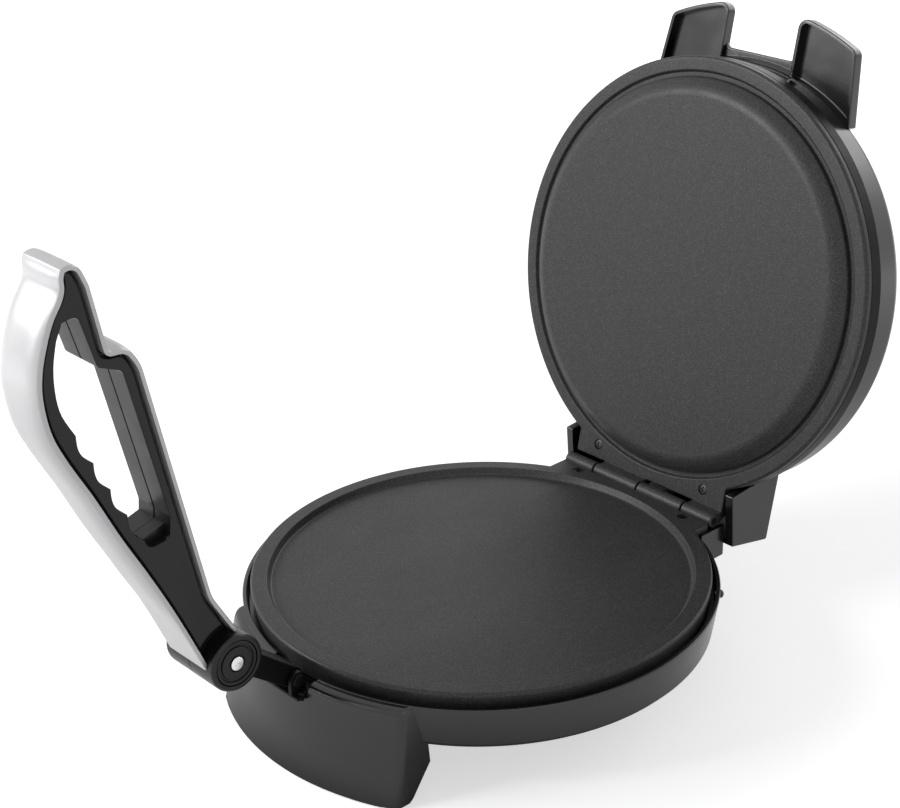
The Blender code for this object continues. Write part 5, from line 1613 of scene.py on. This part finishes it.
@dataclass
class LidCase:
    """The lid's glossy shell, shut: dome, rear box, two horns and the ledge between them."""

    radius: float = 0.131
    draft: float = 0.0007
    edge_z: float = 0.0212
    top: float = 0.0445
    shoulder: float = 0.008
    wall: float = 0.0025
    hinge_y: float = 0.1373
    hinge_z: float = -0.0005
    box_inner: float = 0.0646
    box_outer: float = 0.07
    box_reach: float = 0.0154
    front_low: float = 0.018
    front_high: float = 0.0243
    box_low: float = 0.0017
    rear_low: float = 0.0113
    box_corner: float = 0.0016
    around: float = 0.134
    horn_inner: float = 0.0265
    horn_outer: float = 0.070
    horn_foot: float = 0.0755
    horn_foot_setback: float = 0.024
    horn_reach: float = 0.035
    horn_depth: float = 0.0072
    horn_root: float = 0.016
    horn_corner: float = 0.006
    horn_wall: float = 0.0023
    scoop_fillet: float = 0.0012
    ledge_reach: float = 0.0056
    ledge_thickness: float = 0.0030
    ledge_drop: float = 0.0010
    ledge_fillet: float = 0.0042
    cove: float = 0.0048
    screw_x: float = 0.044
    screw_y: float = 0.1234
    boss_radius: float = 0.0045
    boss_low: float = 0.0193
    overrun: float = 0.006
    gap: float = 0.0003
    edge: float = 0.0008

    def dome(self, name: str, inset: float) -> Piece:
        """The round shell as a solid.

        Args:
            name: The solid's name.
            inset: How far it lies inside the outer face.

        Returns:
            The solid.
        """
        low = self.edge_z - (self.overrun if inset else 0)
        radius = self.radius - inset
        shoulder = self.shoulder - inset
        top = self.top - inset
        centre = (radius - self.draft - shoulder, top - shoulder)
        lip = 0.0 if inset else self.edge / 2
        profile = [(radius / 4, low), (radius - lip, low)]
        if lip:
            profile += arc((radius - lip, low + lip), lip, -math.pi / 2, 0, 4)[1:]
        else:
            profile.append((radius - lip, low))
            profile.pop()
        profile += arc(centre, shoulder, 0, math.pi / 2, 14)
        profile.append((radius / 4, top))
        return Workbench.turned(name, profile)

    def box(self) -> Piece:
        """The rear box's outer form."""
        root = self.hinge_y - self.front_high - self.shoulder
        rear = self.hinge_y + self.box_reach
        outline = rounded(
            [
                (root, self.edge_z, 0),
                (self.hinge_y - self.front_high, self.edge_z, 0.0006),
                (self.hinge_y - self.front_low, self.hinge_z + self.box_low, self.edge),
                (rear, self.hinge_z + self.rear_low, self.edge),
                (rear, self.top, self.box_corner),
                (root, self.top, 0),
            ],
            8,
        )
        shape = Workbench.cheek("lid_box", [outline], -self.box_outer, self.box_outer, self.edge)
        around = Workbench.flat(
            "around", [circle((0, 0), self.around, 192)], -self.overrun, self.edge_z - self.gap
        )
        return Workbench.work(shape, Cutting.CUT, around)

    def horn_outline(self, side: Side, inset: float) -> list[Point]:
        """One horn in plan.

        Args:
            side: Its side.
            inset: How far the outline lies inside the horn's outer face.

        Returns:
            The outline's points.
        """
        reach = self.radius + self.horn_reach - inset
        low = self.horn_inner + inset
        high = self.horn_outer - inset
        start = math.asin(low / reach) - math.pi / 2
        end = math.asin(high / reach) - math.pi / 2
        tip = arc((0, 0), reach, start, end, 20)
        corner = self.horn_corner - inset
        corners: list[Corner] = [(low, -self.radius + self.horn_root, 0)]
        corners += [(*tip[0], corner)]
        corners += [(x, y, 0) for x, y in tip[4:-4]]
        corners += [(*tip[-1], corner)]
        foot_y = -self.radius + self.horn_foot_setback
        corners.append((self.horn_foot - inset, foot_y, 0))
        corners.append((self.horn_foot - inset - self.horn_root, foot_y + self.horn_root / 2, 0))
        return [(side.value * x, y) for x, y in rounded(corners, 8)]

    def ledge(self) -> Piece:
        """The ledge between the horns, a little under the lid's top, so that the shut handle clears it."""
        high = self.top - self.ledge_drop
        outer = -self.radius - self.ledge_reach
        root = -self.radius + self.horn_root
        half = self.horn_inner + self.horn_wall / 2
        fillet = self.ledge_fillet
        end = self.horn_inner - fillet
        left = arc((-end, outer - fillet), fillet, math.pi, math.pi / 2, 10)
        right = arc((end, outer - fillet), fillet, math.pi / 2, 0, 10)
        outline = [(-half, root), (-half, outer - fillet), *left, *right, (half, outer - fillet), (half, root)]
        return Workbench.flat("ledge", [outline], high - self.ledge_thickness, high, self.edge)

    def ledge_cove(self) -> Piece:
        """The hollow fillet between the lid's round wall and the ledge."""
        under = self.top - self.ledge_drop - self.ledge_thickness + self.gap
        radius = self.radius - self.gap
        centre = (radius + self.cove, under - self.cove)
        profile = [(radius - self.wall / 2, under - self.cove), *arc(centre, self.cove, math.pi, math.pi / 2, 12)]
        profile.append((radius - self.wall / 2, under))
        cove = Workbench.turned("cove", profile, closed=True)
        half = self.horn_inner + self.horn_wall / 2
        reach = self.radius * 2
        low, high = self.edge_z - self.overrun, self.top + self.overrun
        return Workbench.work(
            cove,
            Cutting.CUT,
            Workbench.block("beside", (-reach, -reach, low), (-half, reach, high)),
            Workbench.block("beside", (half, -reach, low), (reach, reach, high)),
            Workbench.block("behind", (-reach, 0, low), (reach, reach, high)),
        )

    def scoop(self, side: Side) -> Piece:
        """The hollow of one horn, which stops at the lid's round wall.

        Args:
            side: The horn's side.

        Returns:
            The cutter.
        """
        high = self.top - self.horn_wall
        low = self.edge_z - self.overrun
        scoop = Workbench.flat("scoop", [self.horn_outline(side, self.horn_wall)], low, high)
        fillet = self.scoop_fillet
        profile = [(self.radius / 4, low - self.wall), (self.radius, low - self.wall)]
        profile += arc((self.radius + fillet, high - fillet), fillet, math.pi, math.pi / 2, 6)
        profile += [(self.radius + fillet, high + self.wall), (self.radius / 4, high + self.wall)]
        return Workbench.work(scoop, Cutting.CUT, Workbench.turned("round_wall", profile))

    def make(self) -> Piece:
        """The whole shell in the shut lid's frame."""
        shell = self.dome("lid_shell_fine", 0)
        Workbench.work(shell, Cutting.JOIN, self.box(), self.ledge(), self.ledge_cove())
        for side in Side:
            outline = self.horn_outline(side, 0)
            horn = Workbench.flat("horn", [outline], self.top - self.horn_depth, self.top, self.edge)
            Workbench.work(shell, Cutting.JOIN, horn)
        room = Workbench.block(
            "room",
            (-self.box_inner, 0, -self.overrun),
            (self.box_inner, self.hinge_y + self.box_reach - self.wall, self.top - self.wall - self.gap),
        )
        tools = [self.dome("inside", self.wall), room]
        tools += [self.scoop(side) for side in Side]
        Workbench.work(shell, Cutting.CUT, *tools)
        for side in Side:
            centre = (side.value * self.screw_x, self.screw_y)
            boss = Workbench.flat(
                "boss", [circle(centre, self.boss_radius)], self.boss_low, self.top - self.wall / 2
            )
            Workbench.work(shell, Cutting.JOIN, boss)
        return shell


@dataclass
class LinkArm:
    """The flat arm between the bracket and the barrel, along its own Y."""

    length: float = 0.0556
    half_width: float = 0.009
    eye_radius: float = 0.012
    root_radius: float = 0.006
    neck: float = 0.007
    root_bore: float = 0.0028
    eye_bore: float = 0.0033
    edge: float = 0.0009

    def make(self) -> Piece:
        """The arm with its two bores."""
        half = math.asin(self.neck / self.eye_radius)
        outline = arc((0, 0), self.root_radius, math.pi / 2, 3 * math.pi / 2, 24)
        outline += arc((self.length, 0), self.eye_radius, -math.pi + half, math.pi - half, 48)
        holes = [circle((0, 0), self.root_bore), circle((self.length, 0), self.eye_bore)]
        return Workbench.cheek("link_arm_fine", [outline, *holes], -self.half_width, self.half_width, self.edge)


@dataclass
class Handle:
    """The pressing handle, lying along its own Y: two halves, a crowned band and the barrel's discs."""

    length: float = 0.247
    barrel: float = 0.016
    barrel_half: float = 0.0209
    barrel_edge: float = 0.0018
    core_half: float = 0.014
    shelf_half: float = 0.0098
    recess_radius: float = 0.0225
    panel_inset: float = 0.0016
    panel_edge: float = 0.0007
    core_root: float = 0.008
    seam: float = 0.00015
    gap: float = 0.0003
    band_half: float = 0.016
    band_wall: float = 0.0022
    band_crown: float = 0.003
    crown_power: int = 4
    inner_crown_share: float = 0.35
    crown_start: float = 0.024
    crown_rise: float = 0.05
    crown_fall: float = 0.025
    crown_least: float = 0.1
    lip: float = 0.0007
    hole_grow: float = 0.0012
    slot_half: float = 0.0093
    neck: float = 0.007
    eye_radius: float = 0.012
    axle_radius: float = 0.003
    cap_radius: float = 0.0126
    cap_thickness: float = 0.0022
    cap_sink: float = 0.0004
    overrun: float = 0.006
    link_rest: float = math.radians(141.8)
    link_closed: float = math.radians(95.0)
    rest: float = math.radians(106.54)
    closed: float = math.radians(8.6)
    screw_sink: float = 0.0022
    screw_length: float = 0.022
    tongue_top: float = 0.0925
    tongue_far: float = 0.0085
    tongue_inset: float = 0.0012
    back_shares: tuple[Point, ...] = (
        (0.024, 0.063), (0.182, 0.080), (0.308, 0.099), (0.429, 0.121), (0.547, 0.138),
        (0.648, 0.156), (0.721, 0.162), (0.794, 0.150), (0.846, 0.128), (0.891, 0.097),
        (0.923, 0.069), (0.945, 0.042), (0.962, 0.028), (0.982, 0.021), (0.997, 0.011),
    )
    front_shares: tuple[Corner, ...] = (
        (1.001, -0.024, 0.030), (0.940, -0.029, 0.060), (0.797, -0.013, 0.010), (0.782, -0.053, 0.040),
        (0.735, -0.065, 0.100), (0.170, -0.014, 0.100), (0.057, -0.039, 0.0),
    )
    rim_shares: tuple[Corner, ...] = (
        (0.899, 0.045, 0.0), (0.895, 0.012, 0.016), (0.776, 0.015, 0.012), (0.741, -0.028, 0.018),
        (0.395, -0.002, 0.024), (0.352, 0.016, 0.016), (0.360, 0.064, 0.018),
    )
    scallop_start: Point = (0.388, 0.068)
    scallop_end: Point = (0.680, 0.108)
    scallops: int = 4
    sagitta: float = 0.0028
    hole_back: tuple[Point, ...] = ((0.735, 0.117), (0.781, 0.111), (0.830, 0.094), (0.873, 0.069))
    screw_shares: tuple[Point, ...] = ((0.245, 0.030), (0.925, 0.006))

    def chain(self) -> list[Point]:
        """The handle's outline, from its root at the back, over the tip, to its root at the front."""
        size = self.length
        back = [(size * along, size * up) for along, up in self.back_shares]
        front = [(size * a, size * b, size * c) for a, b, c in self.front_shares]
        curve = smooth(back, 8)
        corners = [(*curve[-1], 0.0), *front]
        return [*curve[:-1], *rounded(corners, 8, closed=False)]

    def inset(self, distance: float, root: float) -> list[Point]:
        """The outline moved in, with both ends carried on to the barrel.

        Args:
            distance: How far it moves in.
            root: Where its ends stop.

        Returns:
            A closed outline.
        """
        inner = shifted(self.chain(), -distance)
        return [(root, inner[0][1]), *inner, (root, inner[-1][1])]

    def hole(self) -> list[Point]:
        """The finger hole's outline, with its scallops."""
        size = self.length
        corners: list[Corner] = [(size * a, size * b, size * c) for a, b, c in self.rim_shares]
        start = Vector(self.scallop_start) * size
        end = Vector(self.scallop_end) * size
        pitch = (end - start) / self.scallops
        out = Vector((-pitch.y, pitch.x)).normalized()
        for index in range(self.scallops):
            for step in range(12):
                t = step / 12
                point = start + pitch * (index + t) + out * (self.sagitta * math.sin(math.pi * t))
                corners.append((*point, 0.0))
        back = smooth([tuple(end), *[(size * a, size * b) for a, b in self.hole_back]], 4)
        corners += [(a, b, 0.0) for a, b in back]
        return rounded(corners, 8)

    def crown_share(self, along: float) -> float:
        """How much of its crown the band has at a place along the handle.

        Args:
            along: The distance from the barrel's axis.

        Returns:
            A share of 0 to 1.
        """
        rise = min(1.0, max(0.0, (along - self.crown_start) / self.crown_rise))
        fall = min(1.0, max(self.crown_least, (self.length - along) / self.crown_fall))
        return rise * rise * (3 - 2 * rise) * fall * (2 - fall)

    def band(self) -> Piece:
        """The crowned band round the handle's edge, open at the barrel."""
        chain = self.chain()
        shares = [self.crown_share(point[0]) for point in chain]
        tilts = [Vector(b) - Vector(a) for a, b in zip(chain, offset(chain, [1.0] * len(chain)))]
        section = []
        for step in range(6):
            lean = math.pi / 2 * step / 5
            section.append((self.band_half - self.lip * (1 - math.cos(lean)), -self.lip * (1 - math.sin(lean))))
        for step in range(1, 13):
            section.append(((self.band_half - self.lip) * (1 - step / 12), 0.0))
        section = [*section, *[(-x, rise) for x, rise in reversed(section[:-1])]]
        rings = []
        for x, rise in section:
            crown = self.band_crown * (1 - abs(x / self.band_half) ** self.crown_power)
            share = self.inner_crown_share
            swell = [
                crown * kept * (share + (1 - share) * (1 + tilt.y) / 2) + rise for tilt, kept in zip(tilts, shares)
            ]
            rings.append([(x, y, z) for y, z in offset(chain, swell)])
        band = Workbench.loft("handle_band_fine", rings)
        reach = self.band_half + self.overrun
        inside = Workbench.cheek("inside", [self.inset(self.band_wall, -self.barrel)], -reach, reach)
        barrel = Workbench.cheek("barrel", [circle((0, 0), self.barrel + self.gap, 96)], -reach, reach)
        return Workbench.work(band, Cutting.CUT, inside, barrel)

    def slot(self) -> list[Point]:
        """The space that the link's arm sweeps round the barrel."""
        reach = 2 * self.barrel
        side = self.neck + 2 * self.gap
        rest = self.link_rest + math.pi - self.rest
        shut = self.link_closed + math.pi - self.closed
        along_rest = Vector((math.cos(rest), math.sin(rest)))
        along_shut = Vector((math.cos(shut), math.sin(shut)))
        across_rest = Vector((along_rest.y, -along_rest.x)) * -side
        across_shut = Vector((along_shut.y, -along_shut.x)) * side
        swing = (along_rest + along_shut).normalized() * (2 * reach)
        points = (
            -across_shut, -across_shut + along_shut * reach, swing, -across_rest + along_rest * reach, -across_rest
        )
        return [tuple(point) for point in points]

    def half(self, side: Side) -> Piece:
        """Half of the core with its half of the barrel.

        Args:
            side: Which half.

        Returns:
            The half.
        """
        def ends(low: float, high: float) -> list[float]:
            """The two places along X, in order."""
            return sorted((side.value * low, side.value * high))

        wall = self.band_wall + self.gap
        hole = self.hole()
        half = Workbench.cheek(
            f"handle_half_{side.word}_fine",
            [self.inset(wall + self.panel_inset, self.core_root), hole],
            *ends(self.seam, self.core_half),
            self.panel_edge,
        )
        grown = shifted(hole + hole[:1], self.hole_grow)[:-1]
        shelf = Workbench.cheek(
            "shelf", [self.inset(wall, self.core_root), grown], *ends(self.seam, self.shelf_half), self.gap
        )
        edge = self.barrel_edge
        far = self.barrel_half
        seat = far - self.cap_sink - self.cap_thickness - self.gap
        profile = rounded(
            [
                (self.axle_radius + self.gap, self.seam, 0),
                (self.barrel, self.seam, self.gap),
                (self.barrel, far, edge),
                (self.cap_radius + self.gap, far, edge / 3),
                (self.cap_radius + self.gap, seat, 0),
                (self.axle_radius + self.gap, seat, 0),
            ]
        )
        barrel = Workbench.turned("barrel", profile, 128, closed=True)
        Workbench.settle(barrel, Matrix.Rotation(side.value * math.pi / 2, 4, "Y"))
        core = Workbench.cheek("core", [circle((0, 0), self.barrel - edge, 96)], *ends(0.0, far + edge))
        recess = Workbench.cheek("recess", [circle((0, 0), self.recess_radius, 128)], *ends(self.shelf_half, far))
        Workbench.work(half, Cutting.JOIN, shelf)
        Workbench.work(half, Cutting.CUT, core, recess)
        Workbench.work(half, Cutting.JOIN, barrel, self.tongue(side, grown))
        eye = Workbench.cheek("eye", [circle((0, 0), self.eye_radius + self.gap, 96)], *ends(-1e-3, self.slot_half))
        slot = Workbench.cheek("slot", [self.slot()], *ends(-1e-3, self.slot_half))
        return Workbench.work(half, Cutting.CUT, eye, slot, *self.screw_holes(side))

    def tongue(self, side: Side, outline: list[Point]) -> Piece:
        """One half's share of the web that fills the finger hole's foot, short of the right face.

        Args:
            side: Which half.
            outline: The hole's outline, grown so that the web bites into the half.

        Returns:
            The web.
        """
        far = self.tongue_far if side is Side.RIGHT else self.core_half - self.tongue_inset
        web = Workbench.cheek("tongue", [outline], *sorted((side.value * self.seam, side.value * far)), self.gap)
        beyond = Workbench.block(
            "beyond", (-self.barrel_half, self.tongue_top, -self.length), (self.barrel_half, self.length, self.length)
        )
        return Workbench.work(web, Cutting.CUT, beyond)

    def screw_places(self) -> list[Point]:
        """Where the screws that hold the halves together stand."""
        return [(self.length * along, self.length * up) for along, up in self.screw_shares]

    def screw_holes(self, side: Side) -> list[Piece]:
        """The cutters of the screws' holes and, on the left, of their heads' seats.

        Args:
            side: Which half.

        Returns:
            The cutters.
        """
        tools = []
        head = self.screw_sink - self.core_half
        for place in self.screw_places():
            if side is Side.LEFT:
                floor = head + 0.0016 + self.gap
                tools.append(Workbench.cheek("seat", [circle(place, 0.0033)], -self.barrel_half, floor))
                tools.append(Workbench.cheek("hole", [circle(place, 0.0017)], -self.core_half, self.gap))
            else:
                end = head + self.screw_length + self.gap
                tools.append(Workbench.cheek("hole", [circle(place, 0.0017)], -self.gap, end))
        return tools

    def cap(self, side: Side) -> Piece:
        """The disc in the barrel's end, with its ring groove and screw seat.

        Args:
            side: Which end.

        Returns:
            The disc.
        """
        top = self.cap_thickness
        radius = self.cap_radius
        profile = rounded(
            [
                (0.0017, 0.0, 0),
                (0.0017, top - 0.0012, 0),
                (0.0047, top - 0.0012, 0),
                (0.0049, top, 0.0003),
                (radius - 0.0034, top, 0.0004),
                (radius - 0.0030, top - 0.0010, 0.0001),
                (radius - 0.0022, top - 0.0010, 0.0001),
                (radius - 0.0018, top, 0.0004),
                (radius, top, 0.0007),
                (radius, 0.0, 0),
            ]
        )
        disc = Workbench.turned(f"pivot_cap_{side.word}_fine", profile, 128, closed=True)
        seat = self.barrel_half - self.cap_sink - self.cap_thickness
        place = Matrix.Translation((side.value * seat, 0, 0))
        return Workbench.settle(disc, place @ Matrix.Rotation(side.value * math.pi / 2, 4, "Y"))


class RotiMaker:
    """Builds and dresses every piece, body by body."""

    def __init__(self, dresser: Dresser, frames: dict[Body, Matrix]) -> None:
        """Takes what every sub-assembly needs.

        Args:
            dresser: Gives the finishes.
            frames: The working frames of the bodies.
        """
        self.dresser = dresser
        self.frames = frames
        self.hinge = Hinge()
        self.case = BaseCase(self.hinge)
        self.screws = Screws()
        self.patterns: dict[tuple[float, float | None], Piece] = {}

    def place(self, piece: Piece, slot: str, body: Body, *nodes: str) -> Piece:
        """Carries a piece from its working frame to the model, and dresses it.

        Args:
            piece: The piece.
            slot: Its material slot.
            body: Its body.
            nodes: The nodes that it stands for, or none for the one that its name starts with.

        Returns:
            The piece.
        """
        Workbench.settle(piece, self.frames[body])
        return self.dresser.dress(piece, slot, body, *(nodes or (piece.name.removesuffix("_fine"),)))

    def screw(self, node: str, length: float, slot: str, body: Body, at: Matrix, head: float | None = None) -> None:
        """Makes and places one screw.

        Args:
            node: The node that it stands for.
            length: Its length.
            slot: Its material slot.
            body: Its body.
            at: Its head's frame, with the shank down -Z.
            head: Its head's radius, if not the usual one.
        """
        if (length, head) not in self.patterns:
            self.patterns[length, head] = self.screws.make("screw_pattern", length, head)
        piece = Workbench.copy(self.patterns[length, head], f"{node}_fine", at)
        self.place(piece, slot, body)

    def put_away(self) -> None:
        """Removes the patterns once their copies are in place."""
        for pattern in self.patterns.values():
            bpy.data.objects.remove(pattern, do_unlink=True)

    def build_base(self) -> None:
        """The base's pieces."""
        case = self.case
        self.place(case.shell(), "gloss_black", Body.BASE)
        self.place(LowerPlate(self.hinge).make(), "nonstick", Body.BASE)
        self.place(case.cover(), "matte_black", Body.BASE)
        self.place(case.lens(), "lens", Body.BASE)
        self.place(case.grommet(), "rubber", Body.BASE)
        feet = RearFoot()
        self.place(feet.make(case), "gloss_black", Body.BASE)
        for side in Side:
            self.place(feet.rear_pad(side, case), "rubber", Body.BASE)
            self.place(feet.front_pad(side, case), "rubber", Body.BASE)
        bracket = PivotBracket()
        # The bracket's black steel carries painted shade for the notch.
        self.place(bracket.make(case), "black_steel", Body.BASE)
        # The link's pin takes steel darkened as painted shade.
        self.place(bracket.pin(case), "steel_blacked", Body.BASE)
        self.build_base_screws(feet, bracket)

    def build_base_screws(self, feet: RearFoot, bracket: PivotBracket) -> None:
        """The base's screws.

        Args:
            feet: The feet, for their posts.
            bracket: The bracket, for its flanges.
        """
        case = self.case
        upside_down = Matrix.Rotation(math.pi, 4, "X")
        under = case.floor - case.gap - case.wall - case.gap - self.screws.head_height
        for index, (x, y) in enumerate(case.cover_screws(), 1):
            at = Matrix.Translation((x, y, under)) @ upside_down
            self.screw(f"bottom_screw_{index}", 0.0058, "steel", Body.BASE, at)
        low = case.sole + feet.seat - case.gap - self.screws.head_height
        length = case.floor - case.gap - case.sole - feet.seat + self.screws.head_height
        for side in Side:
            at = Matrix.Translation((side.value * feet.post_x, feet.y, low)) @ upside_down
            self.screw(f"rear_foot_screw_{side.word}", length, "steel", Body.BASE, at)
            at = Matrix.Translation((side.value * self.hinge.screw_x, 0.1277, -0.0003))
            self.screw(f"lower_tab_screw_{side.word}", 0.024, "black_steel_screw", Body.BASE, at)
            top = case.top - case.notch_depth + bracket.base + 2 * case.gap + self.screws.head_height
            x = side.value * (bracket.outer_x + bracket.flange / 2)
            at = Matrix.Translation((x, bracket.y, top))
            deep = top - case.top + case.notch_depth + case.wall
            head = bracket.flange / 2 - case.gap
            # The bracket's screws take steel darkened as painted shade.
            self.screw(f"bracket_screw_{side.word}", deep, "steel_blacked", Body.BASE, at, head)

    def build_lid(self) -> None:
        """The lid's pieces."""
        self.place(LidCase().make(), "gloss_black", Body.LID)
        plate = UpperPlate(self.hinge)
        self.place(plate.make(), "nonstick", Body.LID)
        for side in Side:
            height = plate.parting + self.case.gap
            at = Matrix.Translation((side.value * self.hinge.screw_x, plate.screw_y, height))
            turn = Matrix.Rotation(math.pi, 4, "X")
            self.screw(f"upper_tab_screw_{side.word}", 0.024, "black_steel_screw", Body.LID, at @ turn)

    def build_handle(self) -> None:
        """The link's and the handle's pieces."""
        # The link arm takes the darker copy of matte black as painted shade.
        self.place(LinkArm().make(), "matte_black_deep", Body.LINK)
        handle = Handle()
        self.place(handle.band(), "silver", Body.HANDLE)
        face = handle.barrel_half - handle.cap_sink - 0.0012 + handle.gap + self.screws.head_height
        for side in Side:
            self.place(handle.half(side), "matte_black", Body.HANDLE)
            self.place(handle.cap(side), "matte_black", Body.HANDLE)
            turn = Matrix.Rotation(side.value * math.pi / 2, 4, "Y")
            at = Matrix.Translation((side.value * face, 0, 0)) @ turn
            self.screw(f"pivot_screw_{side.word}", 0.009, "chrome", Body.HANDLE, at, 0.0039)
        for index, (along, up) in enumerate(handle.screw_places(), 1):
            turn = Matrix.Rotation(-math.pi / 2, 4, "Y")
            at = Matrix.Translation((handle.screw_sink - handle.core_half, along, up)) @ turn
            self.screw(f"handle_screw_{index}", handle.screw_length, "steel", Body.HANDLE, at)


@dataclass
class Studio:
    """The camera at the photograph's angle, the soft lamps, the pale floor and the white surround."""

    azimuth: float = math.radians(48.175)
    elevation: float = math.radians(25.257)
    roll: float = math.radians(-1.503)
    distance: float = 1.130637
    slide: float = -0.017973
    lift: float = 0.094278
    focal: float = 1929.825
    frame_width: int = 900
    sensor: float = 36.0
    floor_half: float = 6.0
    surround: float = 0.24
    floor_colour: float = 0.80
    # Radii between which the painted shadow under the base, seen only in reflections, fades out.
    painted_shadow_start: float = 0.138
    painted_shadow_end: float = 0.170
    glow_shown: float = 0.60
    glow_near: float = 0.42
    glow_far: float = 0.95
    glow_start: float = 0.45
    glow_end: float = 1.8

    def camera(self, origin: Vector) -> None:
        """Sets up the camera.

        Args:
            origin: The centre of the lower plate's rim.
        """
        az, el = self.azimuth, self.elevation
        back = Vector((math.sin(az) * math.cos(el), -math.cos(az) * math.cos(el), math.sin(el)))
        right = Vector((math.cos(az), math.sin(az), 0))
        up = back.cross(right)
        across = right * math.cos(self.roll) + up * math.sin(self.roll)
        upward = up * math.cos(self.roll) - right * math.sin(self.roll)
        bpy.ops.object.camera_add()
        camera = bpy.context.object
        turn = Matrix((across, upward, back)).transposed().to_4x4()
        place = origin + back * self.distance + across * self.slide + upward * self.lift
        camera.matrix_world = Matrix.Translation(place) @ turn
        camera.data.sensor_width = self.sensor
        camera.data.lens = self.focal / self.frame_width * self.sensor
        bpy.context.scene.camera = camera

    def lamp(self, name: str, place: tuple[float, ...], aim: tuple[float, ...], size: Point, power: float) -> None:
        """Adds one soft rectangular lamp.

        Args:
            name: Its name.
            place: Where it hangs.
            aim: The point that it faces.
            size: Its two sides.
            power: Its power in watts.
        """
        bpy.ops.object.light_add(type="AREA", location=place)
        lamp = bpy.context.object
        lamp.name = name
        lamp.data.shape = "RECTANGLE"
        lamp.data.size, lamp.data.size_y = size
        lamp.data.energy = power
        lamp.rotation_mode = "QUATERNION"
        lamp.rotation_quaternion = (Vector(place) - Vector(aim)).to_track_quat("Z", "Y")

    def seen(self, desk: Desk) -> bpy.types.NodeSocket:
        """A mask for the rays that show the white surround.

        Args:
            desk: The node tree's desk.

        Returns:
            The mask.
        """
        path = desk.put("ShaderNodeLightPath")
        shown = desk.math("MAXIMUM", path.outputs["Is Camera Ray"], path.outputs["Is Glossy Ray"])
        return desk.math("MAXIMUM", shown, path.outputs["Is Transmission Ray"])

    def world(self) -> None:
        """A white surround for what sees it, and a dimmer one for plain light."""
        world = bpy.data.worlds.new("surround")
        world.use_nodes = True
        bpy.context.scene.world = world
        desk = Desk(world.node_tree)
        surface = world.node_tree.nodes["Background"]
        strength = desk.spread(self.seen(desk), self.surround, 1.0)
        world.node_tree.links.new(strength, surface.inputs["Strength"])
        surface.inputs["Color"].default_value = (1, 1, 1, 1)

    def floor(self) -> None:
        """The pale floor, white where the light falls freely, with a painted shadow round the base in what glossy
        surfaces reflect.
        """
        bpy.ops.mesh.primitive_plane_add(size=2 * self.floor_half)
        floor = bpy.context.object
        floor.name = "floor"
        material = bpy.data.materials.new("pale_floor")
        material.use_nodes = True
        surface = material.node_tree.nodes["Principled BSDF"]
        shade = self.floor_colour
        surface.inputs["Base Color"].default_value = (shade, shade, shade, 1)
        surface.inputs["Roughness"].default_value = 0.9
        surface.inputs["Specular IOR Level"].default_value = 0.0
        desk = Desk(material.node_tree)
        place = desk.put("ShaderNodeTexCoord").outputs["Object"]
        away = desk.put("ShaderNodeVectorMath", {0: place}, operation="LENGTH").outputs["Value"]
        glow = desk.put(
            "ShaderNodeMapRange",
            {
                "Value": away,
                "From Min": self.glow_start,
                "From Max": self.glow_end,
                "To Min": self.glow_near,
                "To Max": self.glow_far,
            },
        ).outputs[0]
        # Painted shadow: the floor's glow drops to nothing under the base's footprint.
        below = desk.put(
            "ShaderNodeMapRange", {"Value": away, "From Min": self.painted_shadow_start, "From Max": self.painted_shadow_end}
        ).outputs[0]
        path = desk.put("ShaderNodeLightPath").outputs
        # What glossy rays see: the glow with the painted shadow under the base.
        mirrored = desk.math("MULTIPLY", desk.math("MULTIPLY", glow, below), path["Is Glossy Ray"])
        shown = desk.math("MULTIPLY", desk.math("MAXIMUM", glow, self.glow_shown), path["Is Camera Ray"])
        surface.inputs["Emission Color"].default_value = (1, 1, 1, 1)
        strength = desk.math("MAXIMUM", mirrored, shown)
        material.node_tree.links.new(strength, surface.inputs["Emission Strength"])
        floor.data.materials.append(material)

    def build(self, origin: Vector) -> None:
        """Sets up everything round the object.

        Args:
            origin: The centre of the lower plate's rim.
        """
        self.camera(origin)
        self.lamp("key", (-1.15, -1.6, 1.2), (0, 0, 0.15), (1.3, 0.9), 40)
        self.lamp("fill", (1.8, -0.5, 1.1), (0, 0, 0.15), (1.0, 1.4), 2)
        self.lamp("back", (0.0, 2.0, 1.15), (0, 0.1, 0.2), (3.2, 0.7), 17)
        self.world()
        self.floor()
        bpy.context.scene.view_settings.view_transform = "Standard"


def main() -> None:
    """Builds the dressed roti maker and its studio."""
    logging.basicConfig(level=logging.INFO, format="%(name)s: %(message)s")
    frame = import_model()
    frames = Placement().frames(frame["joints"])
    dresser = Dresser(Effects())
    dresser.dress_nodes(frame["nodes"], frame["record"])
    maker = RotiMaker(dresser, frames)
    maker.build_base()
    maker.build_lid()
    maker.build_handle()
    maker.put_away()
    Studio().build(frames[Body.BASE].translation)


if __name__ == "__main__":
    main()
